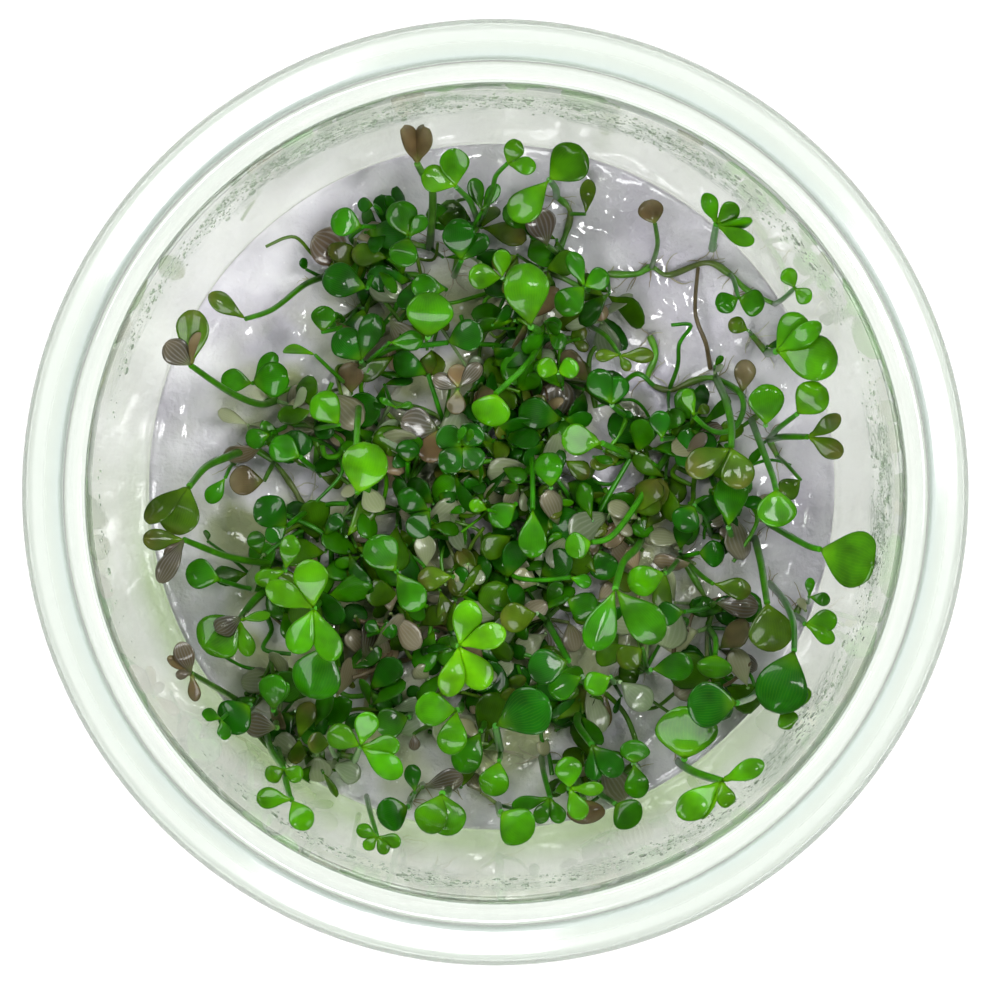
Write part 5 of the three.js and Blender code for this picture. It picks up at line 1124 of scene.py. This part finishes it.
# Fine roots wander over the gel and into it from each foot of the creeping stems.
def makeRoots(tree):
    size = rootSize
    growth = Growth(size["seed"])
    chance, tone = growth.chance, toneOf("root")
    starts = [seen((x, y, gelSize["top"] + size["start"])) for _, places, _ in plantlets for x, y in places]
    for start in [start for start in starts for _ in range(size["perFoot"])]:
        heading = chance.uniform(0, 2 * math.pi)
        line = [start]
        for step in range(int(chance.uniform(*size["lengthShare"]) * size["length"] / size["step"])):
            heading += chance.uniform(-size["turn"], size["turn"])
            place = line[-1] + Vector((math.cos(heading), math.sin(heading), 0)) * size["step"]
            place.z = gelSize["top"] + size["lift"] - size["dive"] * step + size["wave"] * math.sin(step)
            if place.xy.length > size["reach"]:
                break
            line.append(place)
        if len(line) > 2:
            growth.addLine(line, lambda t: tone, lambda t: size["radius"] * (1.1 - 0.7 * t))
    roots = growthPiece("roots", growth, tree)
    roots.data.materials.clear()
    roots.data.materials.append(materials["root"])
    roots.data.polygons.foreach_set("material_index", [0] * len(roots.data.polygons))
    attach(roots, "root")


# Condensation

dropletSize = {
    "fine": 0.2, "drops": 2600, "large": 0.55, "largeDrops": 150, "flatness": 0.45, "spread": 1.4,
    "shares": (0.35, 1.0), "sunk": 0.02, "lean": 0.06, "seed": 5,
}


def dropletTree():
    tree, given = newGeometryTree("dropsOnWall", {"Drop Radius": "Float", "Flatness": "Float"})
    spots = addNode(tree, "GeometryNodeMeshToPoints", None, {"Mesh": given["Geometry"]})
    drop = addNode(tree, "GeometryNodeMeshUVSphere", None,
                   {"Radius": given["Drop Radius"], "Segments": 8, "Rings": 4})
    turn = addNode(tree, "FunctionNodeAlignRotationToVector", {"axis": "Z"},
                   {"Vector": namedOf(tree, "facing", "FLOAT_VECTOR")})
    shape = addNode(tree, "ShaderNodeCombineXYZ", None, {"X": 1.0, "Y": 1.0, "Z": given["Flatness"]})
    placed = addNode(tree, "GeometryNodeInstanceOnPoints", None, {
        "Points": spots.outputs[0], "Instance": drop.outputs[0], "Rotation": turn.outputs[0],
        "Scale": scaledOf(tree, shape.outputs[0], namedOf(tree, "reach", "FLOAT"))})
    smooth = addNode(tree, "GeometryNodeSetShadeSmooth", None, {"Geometry": placed.outputs[0]})
    return finishTree(tree, smooth.outputs[0], (materials["water"], True))


# The drops lie on the fog, most of them near the middle of their cluster and high in it.
def makeDroplets(name, count, radius, tree):
    size, chance = dropletSize, random.Random(dropletSize["seed"] + count)
    shares = [density * spread for _, spread, _, _, density in dropletClusters]
    spots, reaches, facings = [], [], []
    for _ in range(count):
        middle, spread, low, high, _ = chance.choices(dropletClusters, shares)[0]
        aside = spread * size["spread"]
        angle = math.radians(chance.triangular(middle - aside, middle + aside, middle))
        height = chance.triangular(low, high, (low + 2 * high) / 3)
        wall = innerRadius(height) - size["sunk"]
        spots.append((wall * math.cos(angle), wall * math.sin(angle), height))
        facings += [-math.cos(angle), -math.sin(angle), size["lean"]]
        reaches.append(chance.uniform(*size["shares"]) ** 1.5)
    piece = meshPiece(name, spots, [], [])
    giveAttribute(piece, "reach", "FLOAT", reaches)
    giveAttribute(piece, "facing", "FLOAT_VECTOR", facings)
    applyTree(piece, tree, {"Drop Radius": radius * mm, "Flatness": size["flatness"]})
    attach(piece, "root")


makeCup()
makeGel()
print("cup and gel made")
stalks = stalkTree()
makeClover(stalks)
makeRoots(stalks)
print("clover and roots made")
drops = dropletTree()
makeDroplets("fine_condensation", dropletSize["drops"], dropletSize["fine"], drops)
makeDroplets("condensation_drops", dropletSize["largeDrops"], dropletSize["large"], drops)
print("condensation made")


# Floor, light and camera

stageSize = {
    "floor": 2400, "skyStrength": 0.46, "lampAim": (0, 0, 20),
    "lamps": {"topBox": ((-200, 240, 540), 250, 2.0), "frontBox": ((-60, -300, 540), 230, 2.0),
              "sideBox": ((290, 90, 540), 200, 1.75), "glint": ((120, 60, 560), 50, 0.25)},
    "cameraPlace": (-4.73, 7.35, 515), "cameraAim": (0.37, -0.63, 65), "lens": 154.2, "sensor": 36,
}


def makeStage():
    half = stageSize["floor"] / 2
    corners = [(-half, -half, 0), (half, -half, 0), (half, half, 0), (-half, half, 0)]
    floor = meshPiece("floor", corners, [], [(0, 1, 2, 3)], materials["board"])
    world = bpy.data.worlds.new("studioSky")
    world.use_nodes = True
    tree = world.node_tree
    direction = addNode(tree, "ShaderNodeTexCoord").outputs["Generated"]
    steep = addNode(tree, "ShaderNodeSeparateXYZ", None, {"Vector": direction}).outputs["Z"]
    sky = rampOf(tree, steep, (0.0, "#ffffff"), (0.5, "#f8faf8"), (0.8, "#9ca1a0"), (0.95, "#6c7072"))
    background = tree.nodes["Background"]
    tree.links.new(sky, background.inputs["Color"])
    background.inputs["Strength"].default_value = stageSize["skyStrength"]
    bpy.context.scene.world = world
    for name, (place, size, power) in stageSize["lamps"].items():
        light = bpy.data.lights.new(name, "AREA")
        light.shape, light.size, light.energy = "SQUARE", size * mm, power
        lamp = bpy.data.objects.new(name, light)
        lamp.location = Vector(place) * mm
        toward = Vector(stageSize["lampAim"]) * mm - lamp.location
        lamp.rotation_euler = toward.to_track_quat("-Z", "Y").to_euler()
        bpy.context.scene.collection.objects.link(lamp)


def makeCamera():
    view = bpy.data.cameras.new("fromAbove")
    view.lens, view.sensor_width, view.clip_start = stageSize["lens"], stageSize["sensor"], 0.01
    camera = bpy.data.objects.new("fromAbove", view)
    camera.location = Vector(stageSize["cameraPlace"]) * mm
    back = (camera.location - Vector(stageSize["cameraAim"]) * mm).normalized()
    right = Vector((0, 1, 0)).cross(back).normalized()
    camera.rotation_euler = Matrix((right, back.cross(right), back)).transposed().to_euler()
    bpy.context.scene.collection.objects.link(camera)
    bpy.context.scene.camera = camera


makeStage()
makeCamera()
bpy.context.scene.view_settings.view_transform = "Standard"
print("stage and camera made")
